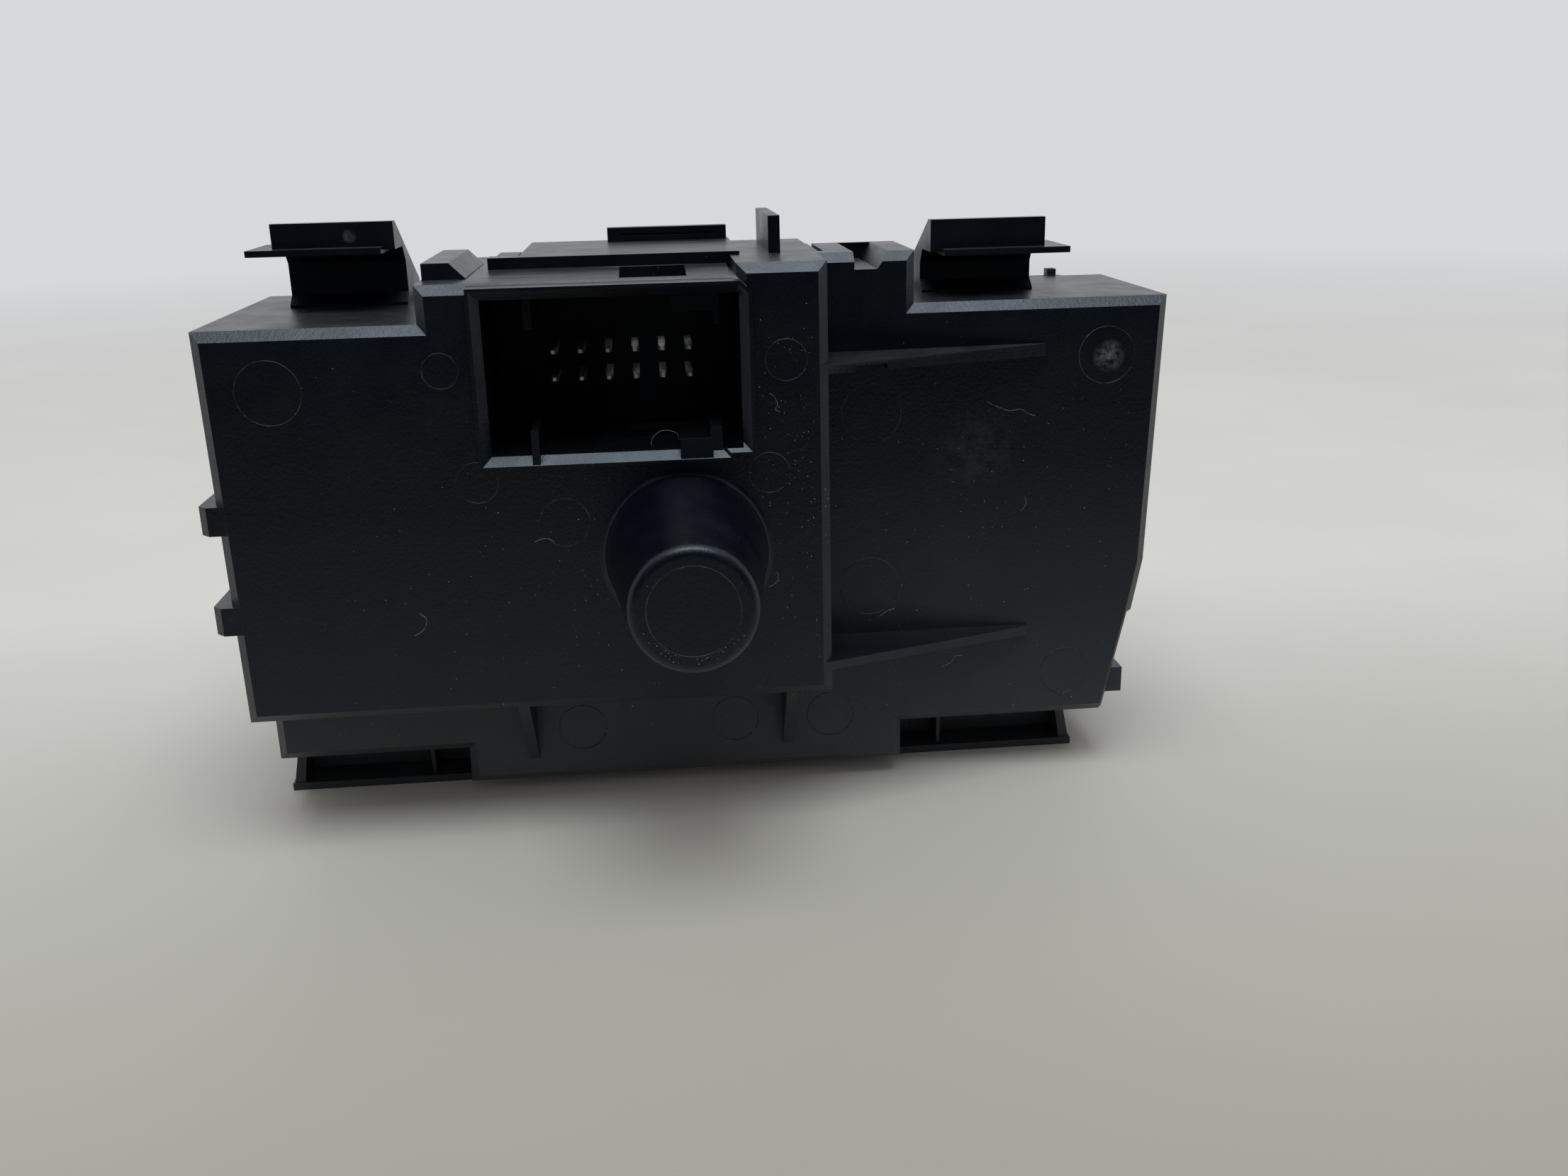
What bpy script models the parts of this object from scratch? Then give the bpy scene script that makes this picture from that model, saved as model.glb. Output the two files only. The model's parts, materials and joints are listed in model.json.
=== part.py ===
"""Vehicle headlight switch: a rotary light switch module seen in use from its front, +Y.

The rear housing carries a twelve way plug socket, a hollow stub for the knob shaft and
four snap clips. The front carries the knob, two push buttons and a thumbwheel.
X runs to the right when looking at the rear, Y from the rear to the front, Z up.
"""
import math

import bmesh
import bpy
from mathutils import Matrix, Vector

# Clearances
GAP = 0.0003
RUNNING_GAP = 0.0003
PRESS_TRAVEL = 0.0015
OVERLAP = 0.0006

# Rear housing, deep block behind the knob and socket
DEEP_LEFT = -0.0433
DEEP_LEFT_FOOT = -0.0429
DEEP_RIGHT = 0.0130
DEEP_FOOT = 0.0112
LEFT_SHOULDER_TOP = 0.0482
RAISED_LEFT = -0.0237
RAISED_TOP = 0.0516
CREST_LEFT = 0.00475
CREST_TOP = 0.0527
CREST_FRONT = 0.0210
EDGE_CHAMFER = 0.0009

# Rear housing, shallow block that surrounds it
SHALLOW_STEP = 0.0080
RIGHT_SHOULDER_TOP = 0.0477
RIGHT_TOP_X = 0.0476
RIGHT_BEND_X = 0.0467
RIGHT_BEND_Z = 0.0206
RIGHT_NOTCH_X = 0.0457
RIGHT_NOTCH_Z = 0.0151
RIGHT_NOTCH_STEP = 0.0006
RIGHT_FOOT_X = 0.0433
RAISED_RIGHT = 0.0224
FOOT_LEFT = -0.0239
FOOT_RIGHT = 0.0212
LEFT_FOOT_SHOULDER = 0.0038
RIGHT_FOOT_SHOULDER = 0.0041
BODY_DEPTH = 0.0300
WALL = 0.0018

# Raised platform on the top face
PLATFORM_LEFT = -0.0152
PLATFORM_RIGHT = 0.0133
PLATFORM_REAR = 0.0096
PLATFORM_SETBACK = 0.0008
PLATFORM_TOP = 0.05305
PLATFORM_STEP_X = 0.0057
PLATFORM_DROP = 0.00005
RAMP_TOP = 0.0520
RAMP_RIGHT = 0.0044
BAR_LEFT = -0.0180
BAR_LENGTH = 0.0022
FIN_X = 0.00907
FIN_THICKNESS = 0.00114
FIN_REAR = 0.0100
FIN_LENGTH = 0.0148
FIN_TOP = 0.0562
LIP_LEFT = -0.0071
LIP_RIGHT = 0.0054
LIP_THICKNESS = 0.0016
LIP_SETBACK = 0.0030
LIP_TOP = 0.0545
LIP_HOLLOW = 0.0006
LIP_POST = 0.0014

# Guide blocks with sloped grooves either side of the platform
BLOCK_REAR = 0.0050
BLOCK_TOP = 0.0531
BLOCK_LEFT = -0.0235
BLOCK_RIGHT = -0.0210
BLOCK_SLOPE = 0.0014
PLATE_LEFT = -0.0178
PLATE_RIGHT = -0.0157
PLATE_REAR = 0.0125
PLATE_TOP = 0.0527
GROOVE_LEFT = 0.0165
GROOVE_RIGHT = 0.0203
GROOVE_SLOPE = 0.0016
GROOVE_FLOOR = 0.0511
SLOT_WIDTH = 0.0006

# Plug socket
SOCKET_LEFT = -0.0191
SOCKET_WIDTH = 0.0251
SOCKET_HEIGHT = 0.0162
SOCKET_TOP = 0.0513
SOCKET_RIM = 0.0010
SOCKET_WALL = 0.0011
SOCKET_LEAD = 0.0008
SOCKET_LEAD_RUN = 0.00005
SOCKET_STEP_WIDTH = 0.0020
SOCKET_STEP = 0.00045
SOCKET_FLOOR = 0.0020
SOCKET_BOARD_GAP = 0.0030
SOCKET_CORNER = 0.0010
WINDOW_LEFT = -0.0057
WINDOW_RIGHT = 0.0004
WINDOW_REAR = 0.0020

# Coding keys: place from the socket's left, width, reach from its wall, start and end depth
FOOT_KEYS = (
    ("key_foot_left", 0.0048, 0.0007, 0.0024, -0.00095, 0.0095),
    ("latch_block", 0.0182, 0.0030, 0.0011, -0.00095, 0.0050),
    ("latch_post", 0.0210, 0.0011, 0.0020, -0.0004, 0.0062),
    ("latch_rail", 0.0136, 0.0074, 0.0008, 0.0064, 0.0090),
)
TOP_KEYS = (
    ("key_top_left", 0.0048, 0.0007, 0.0027, 0.0000, 0.0095),
    ("key_top_right", 0.0217, 0.0005, 0.0028, 0.0002, 0.0070),
    ("key_top_block", 0.0181, 0.0038, 0.0016, 0.0005, 0.0050),
)

# Contact pins
PIN_PITCH = 0.00254
PIN_ROW_PITCH = 0.00254
PIN_COLUMNS = 6
PIN_ROWS = 2
PIN_SIZE = 0.00064
PIN_OFFSET_X = 0.00064
PIN_OFFSET_Z = 0.00017
PIN_IN_SOCKET = 0.0064
PIN_TAPER = 0.0012
PIN_TIP_SHARE = 0.5
PIN_SOLDER_END = 0.0014

# Hollow stub on the rear and the shaft that ends in it
STUB_X = -0.0007
STUB_Z = 0.0262
STUB_BASE_RADIUS = 0.0075
STUB_END_RADIUS = 0.00565
STUB_LENGTH = 0.0174
STUB_EDGE = 0.00095
STUB_FILLET = 0.0007
STUB_FILLET_LIP = 0.00002
STUB_ROUND_STEPS = 4
STUB_END_WALL = 0.0018
SHAFT_RADIUS = 0.0030

# Ribs, gussets and side tabs of the rear housing
UPPER_RIB_ROOT = 0.0008
UPPER_RIB_THICKNESS = 0.0012
UPPER_RIB_Z = 0.0429
UPPER_RIB_TIP = 0.0352
LOWER_RIB_ROOT = 0.00085
LOWER_RIB_THICKNESS = 0.0010
LOWER_RIB_Z = 0.0139
LOWER_RIB_TIP = 0.0343
RIB_TOE = 0.0005
RIB_SINK = 0.0001
RIB_NOTCH_LEFT = 0.01555
RIB_NOTCH_RIGHT = 0.0187
RIB_NOTCH_RISE = 0.0001
GUSSET_THICKNESS = 0.0011
LEFT_GUSSET_X = -0.0172
RIGHT_GUSSET_X = 0.0091
GUSSET_FOOT = 0.0028
TAB_HEIGHT = 0.0027
TAB_REACH = 0.0014
TAB_REAR = 0.0001
TAB_CHAMFER = 0.0008
TAB_ROOT = 0.0012
TAB_LENGTH = 0.0120
UPPER_TAB_Z = 0.0312
LOWER_TAB_Z = 0.0216
RIGHT_TAB_Z = 0.0073

# Snap clips on the shoulders and feet
CLIP_SETBACK = 0.0040
CLIP_WEB_DEPTH = 0.0075
CLIP_HOOK_REACH = 0.0055
CLIP_FILLET = 0.0012
CLIP_WING_THICKNESS = 0.0006
CLIP_WING_REACH = 0.0022
CLIP_WING_NOSE = 0.0015
CLIP_HOOK_CREST = 0.0012
CLIP_BACK_HEIGHT = 0.0018
LEFT_CLIP_INNER = -0.0269
LEFT_CLIP_OUTER = -0.0383
LEFT_CLIP_WING = 0.0536
LEFT_CLIP_TOP = 0.0565
RIGHT_CLIP_INNER = 0.0248
RIGHT_CLIP_OUTER = 0.0363
RIGHT_CLIP_WING = 0.0518
RIGHT_CLIP_TOP = 0.0552
FOOT_CLIP_DROP = 0.0058
FOOT_CLIP_THICKNESS = 0.0008
FOOT_CLIP_LEFT = -0.0434
FOOT_CLIP_RIGHT = 0.0412
FOOT_CLIP_RIB_REACH = 0.0148
FOOT_CLIP_RIB = 0.0004
FOOT_CLIP_SETBACK = 0.0045
FOOT_CLIP_LENGTH = 0.0120
FOOT_CLIP_FLARE = 0.0014

# Circuit board and what it carries
BOARD_SETBACK = 0.0130
BOARD_THICKNESS = 0.0016
BOARD_LEFT = -0.0406
BOARD_RIGHT = 0.0240
BOARD_FOOT = 0.0064
BOARD_TOP = 0.0458
BOARD_PIN_HOLE = 0.0007
POST_RADIUS = 0.0028
POST_LEFT_X = -0.0368
POST_RIGHT_X = 0.0202
POST_FOOT_Z = 0.0102
POST_TOP_Z = 0.0420
SCREW_RADIUS = 0.0011
SCREW_HEAD_RADIUS = 0.0025
SCREW_HEAD_HEIGHT = 0.0016
SCREW_LENGTH = 0.0060
LED_SIZE = 0.0028
LED_HEIGHT = 0.0016

# Knob, rotor and contact wiper on the shaft
KNOB_RADIUS = 0.0143
KNOB_HEIGHT = 0.0145
KNOB_CROWN = 0.0022
KNOB_FLUTE = 0.0005
KNOB_FLUTES = 24
KNOB_LIFT = 0.0005
KNOB_ROOF = 0.0040
KNOB_TRIM_RADIUS = 0.0098
KNOB_TRIM_WIDTH = 0.0014
KNOB_TRIM_HEIGHT = 0.0010
POINTER_WIDTH = 0.0010
POINTER_LENGTH = 0.0040
POINTER_DEPTH = 0.0008
ROTOR_RADIUS = 0.0100
ROTOR_THICKNESS = 0.0026
ROTOR_SETBACK = 0.0057
ROTOR_NOTCH = 0.0008
ROTOR_LOBES = 12
WIPER_RADIUS = 0.0085
WIPER_THICKNESS = 0.0007
WIPER_FOOT = 0.0009
WIPER_WIDTH = 0.0030

# Front frame, fascia and light guide
FRAME_THICKNESS = 0.0020
FRAME_LEFT = -0.0433
FRAME_RIGHT = 0.0473
FRAME_FOOT = -0.0020
FRAME_TOP = 0.0474
FRAME_CORNER = 0.0035
FRAME_INSET = 0.0004
SPIGOT_LENGTH = 0.0030
SPIGOT_WALL = 0.0014
HUB_RADIUS = 0.0150
BEARING_RADIUS = 0.0050
FASCIA_THICKNESS = 0.0024
FASCIA_EDGE = 0.0008
RING_WIDTH = 0.0013
RING_DEPTH = 0.0020
RING_LED_ANGLE = math.radians(30)
GUIDE_LEG_RADIUS = 0.0006
PEG_X = 0.0421
PEG_WIDTH = 0.0010
PEG_HEIGHT = 0.0010

# Detent spring beside the rotor
SPRING_THICKNESS = 0.0004
SPRING_HALF_SPAN = 0.0092
SPRING_RISE = 0.0020
SPRING_DEPTH = 0.0020
SPRING_POST_RADIUS = 0.0012

# Push buttons
BUTTON_X = -0.0312
BUTTON_WIDTH = 0.0150
BUTTON_HEIGHT = 0.0130
BUTTON_UPPER_Z = 0.0334
BUTTON_LOWER_Z = 0.0190
BUTTON_PROUD = 0.0016
BUTTON_EDGE = 0.0006
BUTTON_FLANGE = 0.0004
BUTTON_FLANGE_THICKNESS = 0.0014
BUTTON_STEM_RADIUS = 0.0020
LENS_WIDTH = 0.0040
LENS_HEIGHT = 0.0010
LENS_DEPTH = 0.0010
LENS_DROP = 0.0042
MAT_THICKNESS = 0.0008
MAT_DOME_RADIUS = 0.0028
MAT_DOME_HEIGHT = 0.0024
MAT_MARGIN = 0.0010

# Thumbwheel on its axle
WHEEL_X = 0.0315
WHEEL_RADIUS = 0.0110
WHEEL_WIDTH = 0.0046
WHEEL_SETBACK = 0.0038
WHEEL_TEETH = 36
WHEEL_TOOTH = 0.0004
AXLE_RADIUS = 0.0010
ARM_THICKNESS = 0.0013
ARM_GAP = 0.0005
ARM_HALF_HEIGHT = 0.0042
ARM_REACH = 0.0040
DIMMER_WIDTH = 0.0042
DIMMER_HALF_HEIGHT = 0.0050
DIMMER_REACH = 0.0047
DIMMER_LENGTH = 0.0080
AXLE_IN_DIMMER = 0.0012

# Round shapes
FINE_STEPS = 48
ROUND_STEPS = 32
SMALL_STEPS = 16

# Places that follow from the sizes above
BOARD_REAR = BODY_DEPTH - BOARD_SETBACK
BOARD_FRONT = BOARD_REAR + BOARD_THICKNESS
BORE_RADIUS = SHAFT_RADIUS + RUNNING_GAP
SHAFT_REAR = -STUB_LENGTH + STUB_END_WALL + GAP
SOCKET_RIGHT = SOCKET_LEFT + SOCKET_WIDTH
SOCKET_FOOT = SOCKET_TOP - SOCKET_HEIGHT
SOCKET_STEP_X = SOCKET_RIGHT - SOCKET_STEP_WIDTH
SOCKET_END = BOARD_REAR - SOCKET_BOARD_GAP - SOCKET_FLOOR
PIN_FIRST_X = (SOCKET_LEFT + SOCKET_RIGHT) / 2 + PIN_OFFSET_X - PIN_PITCH * (PIN_COLUMNS - 1) / 2
PIN_LOWER_Z = (SOCKET_FOOT + SOCKET_TOP) / 2 + PIN_OFFSET_Z - PIN_ROW_PITCH * (PIN_ROWS - 1) / 2
PIN_REAR = SOCKET_END - PIN_IN_SOCKET
PLATFORM_FRONT = BODY_DEPTH - PLATFORM_SETBACK
LIP_REAR = PLATFORM_FRONT - LIP_SETBACK
CLIP_FRONT = BODY_DEPTH - CLIP_SETBACK
CLIP_WEB_REAR = CLIP_FRONT - CLIP_WEB_DEPTH
CLIP_REAR = CLIP_WEB_REAR - CLIP_HOOK_REACH
FOOT_CLIP_FRONT = BODY_DEPTH - FOOT_CLIP_SETBACK
FOOT_CLIP_REAR = FOOT_CLIP_FRONT - FOOT_CLIP_LENGTH
FRAME_REAR = BODY_DEPTH + GAP
FRAME_FRONT = FRAME_REAR + FRAME_THICKNESS
FASCIA_REAR = FRAME_FRONT + GAP
FASCIA_FRONT = FASCIA_REAR + FASCIA_THICKNESS
RING_INNER = HUB_RADIUS + GAP
RING_OUTER = RING_INNER + RING_WIDTH
KNOB_REAR = FASCIA_FRONT + KNOB_LIFT
KNOB_FRONT = KNOB_REAR + KNOB_HEIGHT
SHAFT_FRONT = KNOB_FRONT - KNOB_ROOF - GAP
ROTOR_FRONT = FRAME_REAR - ROTOR_SETBACK
ROTOR_REAR = ROTOR_FRONT - ROTOR_THICKNESS
WIPER_FRONT = ROTOR_REAR - GAP
BUTTON_FRONT = FASCIA_FRONT + BUTTON_PROUD
WHEEL_Y = FRAME_REAR - WHEEL_SETBACK
WHEEL_Z = STUB_Z
ARM_REAR = WHEEL_Y - ARM_REACH
DIMMER_REAR = WHEEL_Y - DIMMER_REACH
ARM_INNER_LEFT = WHEEL_X - WHEEL_WIDTH / 2 - ARM_GAP
ARM_INNER_RIGHT = WHEEL_X + WHEEL_WIDTH / 2 + ARM_GAP
TAB_SIDE = DEEP_LEFT - TAB_REACH
FOOT_CLIP_FOOT = LEFT_FOOT_SHOULDER - FOOT_CLIP_DROP

# The row origin is the middle of the foot of the whole switch
ORIGIN = Vector((
    (TAB_SIDE + RIGHT_TOP_X) / 2,
    (KNOB_FRONT - STUB_LENGTH) / 2,
    min(FOOT_CLIP_FOOT, FRAME_FOOT),
))

TURN_TO_Y = Matrix(((1, 0, 0, 0), (0, 0, 1, 0), (0, -1, 0, 0), (0, 0, 0, 1)))
TURN_TO_X = Matrix(((0, 0, 1, 0), (0, 1, 0, 0), (-1, 0, 0, 0), (0, 0, 0, 1)))
FLAT_ALONG_Y = Matrix(((1, 0, 0, 0), (0, 0, -1, 0), (0, 1, 0, 0), (0, 0, 0, 1)))
FLAT_ALONG_X = Matrix(((0, 0, 1, 0), (1, 0, 0, 0), (0, 1, 0, 0), (0, 0, 0, 1)))


def clear_scene():
    """Remove every object that the file opened with"""
    for item in list(bpy.data.objects):
        bpy.data.objects.remove(item, do_unlink=True)


def make_collection(name):
    """Add a collection to the scene"""
    collection = bpy.data.collections.new(name)
    bpy.context.scene.collection.children.link(collection)
    return collection


clear_scene()
PARTS = make_collection("headlight_switch")
CUTTERS = make_collection("cutters")


def make_material(name, colour, roughness, metallic=0.0):
    """A Principled surface with one colour"""
    material = bpy.data.materials.new(name)
    material.use_nodes = True
    shader = material.node_tree.nodes["Principled BSDF"]
    shader.inputs["Base Color"].default_value = (*colour, 1.0)
    shader.inputs["Roughness"].default_value = roughness
    shader.inputs["Metallic"].default_value = metallic
    return material


def mesh_from(scratch, name):
    """Turn a curve or modified object into a plain welded mesh"""
    bpy.context.view_layer.update()
    graph = bpy.context.evaluated_depsgraph_get()
    mesh = bpy.data.meshes.new_from_object(scratch.evaluated_get(graph))
    mesh.name = name
    mesh.transform(scratch.matrix_world)
    shape = bmesh.new()
    shape.from_mesh(mesh)
    bmesh.ops.remove_doubles(shape, verts=shape.verts, dist=0.000001)
    bmesh.ops.recalc_face_normals(shape, faces=shape.faces)
    shape.to_mesh(mesh)
    shape.free()
    bpy.data.objects.remove(scratch, do_unlink=True)
    return mesh


def make_object(name, mesh, tool=False):
    """Put a mesh in the parts or, as a tool, in the cutters"""
    item = bpy.data.objects.new(name, mesh)
    if tool:
        CUTTERS.objects.link(item)
        item.hide_render = True
        item.display_type = "WIRE"
    else:
        PARTS.objects.link(item)
    return item


def flat_solid(name, outline, start, end, turn=FLAT_ALONG_Y, near=0.0, far=0.0, tool=True):
    """Extrude a flat outline from start to end and chamfer the rim of either face"""
    curve = bpy.data.curves.new(name, "CURVE")
    curve.dimensions = "2D"
    curve.fill_mode = "BOTH"
    curve.extrude = (end - start) / 2
    spline = curve.splines.new("POLY")
    spline.points.add(len(outline) - 1)
    for point, place in zip(spline.points, outline):
        point.co = (place[0], place[1], 0.0, 1.0)
    spline.use_cyclic_u = True
    scratch = bpy.data.objects.new(name, curve)
    CUTTERS.objects.link(scratch)
    along = Vector((turn[0][2], turn[1][2], turn[2][2]))
    if turn == FLAT_ALONG_Y:
        along = -along
    scratch.matrix_world = Matrix.Translation(along * (start + end) / 2) @ turn
    mesh = mesh_from(scratch, name)
    merge_flat_faces(mesh)
    if near > 0.0:
        chamfer_rim(mesh, along, start, near)
    if far > 0.0:
        chamfer_rim(mesh, along, end, far)
    return make_object(name, mesh, tool)


def merge_flat_faces(mesh):
    """Make each flat side of a solid one face"""
    shape = bmesh.new()
    shape.from_mesh(mesh)
    bmesh.ops.dissolve_limit(shape, angle_limit=0.001, verts=shape.verts, edges=shape.edges)
    shape.to_mesh(mesh)
    shape.free()


def chamfer_rim(mesh, along, place, width):
    """Chamfer the edges that lie in one end face"""
    shape = bmesh.new()
    shape.from_mesh(mesh)
    rim = []
    for edge in shape.edges:
        if all(abs(vert.co.dot(along) - place) < 0.000002 for vert in edge.verts):
            rim.append(edge)
    bmesh.ops.bevel(shape, geom=rim, offset=width, segments=1, affect="EDGES", clamp_overlap=False)
    shape.to_mesh(mesh)
    shape.free()


def box_solid(name, low, high, tool=True, bevel=0.0):
    """A box between two corners, with its edges rounded if asked"""
    shape = bmesh.new()
    bmesh.ops.create_cube(shape, size=1.0)
    low = Vector(low)
    high = Vector(high)
    size = high - low
    bmesh.ops.scale(shape, vec=size, verts=shape.verts)
    bmesh.ops.translate(shape, vec=(low + high) / 2, verts=shape.verts)
    mesh = bpy.data.meshes.new(name)
    shape.to_mesh(mesh)
    shape.free()
    item = make_object(name, mesh, tool)
    if bevel > 0.0:
        rounding = item.modifiers.new("Rounding", "BEVEL")
        rounding.width = bevel
        rounding.segments = 2
    return item


def rod_solid(name, centre, radius, start, end, along="Y", steps=SMALL_STEPS, tool=True):
    """A plain cylinder from start to end along an axis"""
    shape = bmesh.new()
    bmesh.ops.create_cone(
        shape, cap_ends=True, segments=steps, radius1=radius, radius2=radius, depth=end - start)
    turn = TURN_TO_Y if along == "Y" else TURN_TO_X
    bmesh.ops.transform(shape, matrix=turn, verts=shape.verts)
    middle = (start + end) / 2
    if along == "Y":
        place = Vector((centre[0], middle, centre[1]))
    else:
        place = Vector((middle, centre[0], centre[1]))
    bmesh.ops.translate(shape, vec=place, verts=shape.verts)
    mesh = bpy.data.meshes.new(name)
    shape.to_mesh(mesh)
    shape.free()
    return make_object(name, mesh, tool)


def turned_solid(name, profile, centre, closed=False, steps=ROUND_STEPS, tool=True):
    """Turn a profile of radius and Y place about a line along Y; it starts at its front end"""
    mesh = bpy.data.meshes.new(name)
    shape = bmesh.new()
    verts = [shape.verts.new((radius, 0.0, place)) for radius, place in profile]
    for first, second in zip(verts, verts[1:]):
        shape.edges.new((first, second))
    if closed:
        shape.edges.new((verts[-1], verts[0]))
    shape.to_mesh(mesh)
    shape.free()
    scratch = bpy.data.objects.new(name, mesh)
    CUTTERS.objects.link(scratch)
    turn = scratch.modifiers.new("Turn", "SCREW")
    turn.axis = "Z"
    turn.steps = steps
    turn.render_steps = steps
    turn.use_merge_vertices = True
    turn.merge_threshold = 0.000001
    scratch.matrix_world = Matrix.Translation((centre[0], 0.0, centre[1])) @ TURN_TO_Y
    return make_object(name, mesh_from(scratch, name), tool)


def combine(target, tool, operation):
    """Join a tool to a piece, or cut the piece with it"""
    step = target.modifiers.new(operation.title() + " " + tool.name, "BOOLEAN")
    step.operation = operation
    step.solver = "EXACT"
    step.object = tool


def join(target, tool):
    combine(target, tool, "UNION")


def cut(target, tool):
    combine(target, tool, "DIFFERENCE")


def finish(item, material, pivot=None):
    """Give a piece its material and place, with its own origin on its axis if it turns"""
    bpy.context.view_layer.update()
    graph = bpy.context.evaluated_depsgraph_get()
    mesh = bpy.data.meshes.new_from_object(item.evaluated_get(graph))
    mesh.name = item.name
    shape = bmesh.new()
    shape.from_mesh(mesh)
    bmesh.ops.remove_doubles(shape, verts=shape.verts, dist=0.000002)
    bmesh.ops.dissolve_degenerate(shape, dist=0.000002, edges=shape.edges)
    shape.to_mesh(mesh)
    shape.free()
    item.modifiers.clear()
    item.data = mesh
    item.data.materials.clear()
    item.data.materials.append(material)
    place = Vector(pivot) if pivot else Vector((0.0, 0.0, 0.0))
    item.data.transform(Matrix.Translation(-place))
    item.location = place - ORIGIN
    item.data.shade_smooth()
    item.data.set_sharp_from_angle(angle=math.radians(30))
    return item


def rectangle(left, foot, right, top, corner=0.0, steps=4):
    """A rectangle outline with rounded corners"""
    if corner <= 0.0:
        return [(left, foot), (right, foot), (right, top), (left, top)]
    points = []
    centres = (
        (right - corner, foot + corner, -90.0), (right - corner, top - corner, 0.0),
        (left + corner, top - corner, 90.0), (left + corner, foot + corner, 180.0))
    for across, up, first in centres:
        for step in range(steps + 1):
            angle = math.radians(first + 90.0 * step / steps)
            points.append((across + corner * math.cos(angle), up + corner * math.sin(angle)))
    return points


def inset(outline, depth):
    """Move each side of an outline inwards by the same depth"""
    moved = []
    count = len(outline)
    for index in range(count):
        before = Vector(outline[index - 1])
        here = Vector(outline[index])
        after = Vector(outline[(index + 1) % count])
        first = (here - before).normalized()
        second = (after - here).normalized()
        first_in = Vector((-first.y, first.x))
        second_in = Vector((-second.y, second.x))
        mitre = (first_in + second_in) / (1.0 + first_in.dot(second_in))
        moved.append(tuple(here + mitre * depth))
    return moved


def deep_outline():
    """Outer line of the deep block"""
    return [
        (DEEP_LEFT_FOOT, DEEP_FOOT),
        (DEEP_RIGHT, DEEP_FOOT),
        (DEEP_RIGHT, CREST_TOP),
        (CREST_LEFT, CREST_TOP),
        (CREST_LEFT, RAISED_TOP),
        (RAISED_LEFT, RAISED_TOP),
        (RAISED_LEFT, LEFT_SHOULDER_TOP),
        (DEEP_LEFT, LEFT_SHOULDER_TOP),
    ]


def shallow_outline():
    """Outer line of the shallow block, which is also the mouth at the front"""
    return [
        (DEEP_LEFT_FOOT, LEFT_FOOT_SHOULDER),
        (FOOT_LEFT, LEFT_FOOT_SHOULDER),
        (FOOT_LEFT, 0.0),
        (FOOT_RIGHT, 0.0),
        (FOOT_RIGHT, RIGHT_FOOT_SHOULDER),
        (RIGHT_FOOT_X, RIGHT_FOOT_SHOULDER),
        (RIGHT_NOTCH_X, RIGHT_NOTCH_Z),
        (RIGHT_BEND_X, RIGHT_BEND_Z),
        (RIGHT_TOP_X, RIGHT_SHOULDER_TOP),
        (RAISED_RIGHT, RIGHT_SHOULDER_TOP),
        (RAISED_RIGHT, CREST_TOP),
        (CREST_LEFT, CREST_TOP),
        (CREST_LEFT, RAISED_TOP),
        (RAISED_LEFT, RAISED_TOP),
        (RAISED_LEFT, LEFT_SHOULDER_TOP),
        (DEEP_LEFT, LEFT_SHOULDER_TOP),
        (DEEP_LEFT_FOOT, DEEP_FOOT),
    ]


def post_places():
    """The four posts that carry the circuit board; the first two take screws"""
    return [
        (POST_LEFT_X, POST_FOOT_Z),
        (POST_RIGHT_X, POST_TOP_Z),
        (POST_LEFT_X, POST_TOP_Z),
        (POST_RIGHT_X, POST_FOOT_Z),
    ]


def pin_places():
    """Every contact pin, row by row from the lower left"""
    places = []
    for row in range(PIN_ROWS):
        for column in range(PIN_COLUMNS):
            places.append((PIN_FIRST_X + column * PIN_PITCH, PIN_LOWER_Z + row * PIN_ROW_PITCH))
    return places


def add_stub(body):
    """The hollow stub that ends the shaft: fillet at its root, taper, rounded closed end"""
    foot = STUB_BASE_RADIUS + STUB_FILLET
    profile = [(0.0, WALL / 2), (foot, WALL / 2)]
    for step in range(STUB_ROUND_STEPS + 1):
        angle = math.radians(90.0) * step / STUB_ROUND_STEPS
        radius = foot - STUB_FILLET * math.sin(angle)
        place = -STUB_FILLET_LIP - STUB_FILLET * (1.0 - math.cos(angle))
        profile.append((radius, place))
    for step in range(STUB_ROUND_STEPS + 1):
        angle = math.radians(90.0) * step / STUB_ROUND_STEPS
        radius = STUB_END_RADIUS - STUB_EDGE * (1.0 - math.cos(angle))
        place = STUB_EDGE * (1.0 - math.sin(angle)) - STUB_LENGTH
        profile.append((radius, place))
    profile.append((0.0, -STUB_LENGTH))
    join(body, turned_solid("stub", profile, (STUB_X, STUB_Z), steps=FINE_STEPS))


def wedge_rib(name, level, tip, root_thickness, tip_thickness):
    """A rib that runs from the deep face down to the shallow one and thickens to its tip"""
    root = DEEP_RIGHT - EDGE_CHAMFER
    corners = [
        (root, RIB_SINK),
        (tip, SHALLOW_STEP - RIB_TOE),
        (tip, SHALLOW_STEP + OVERLAP),
        (root, SHALLOW_STEP + OVERLAP),
    ]
    low = level - root_thickness / 2
    rib = flat_solid(name, corners, low, low + root_thickness, Matrix.Identity(4))
    middle = (root + tip) / 2
    for vert in rib.data.vertices:
        if vert.co.x > middle:
            vert.co.z = level + (vert.co.z - level) * tip_thickness / root_thickness
    return rib


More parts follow.
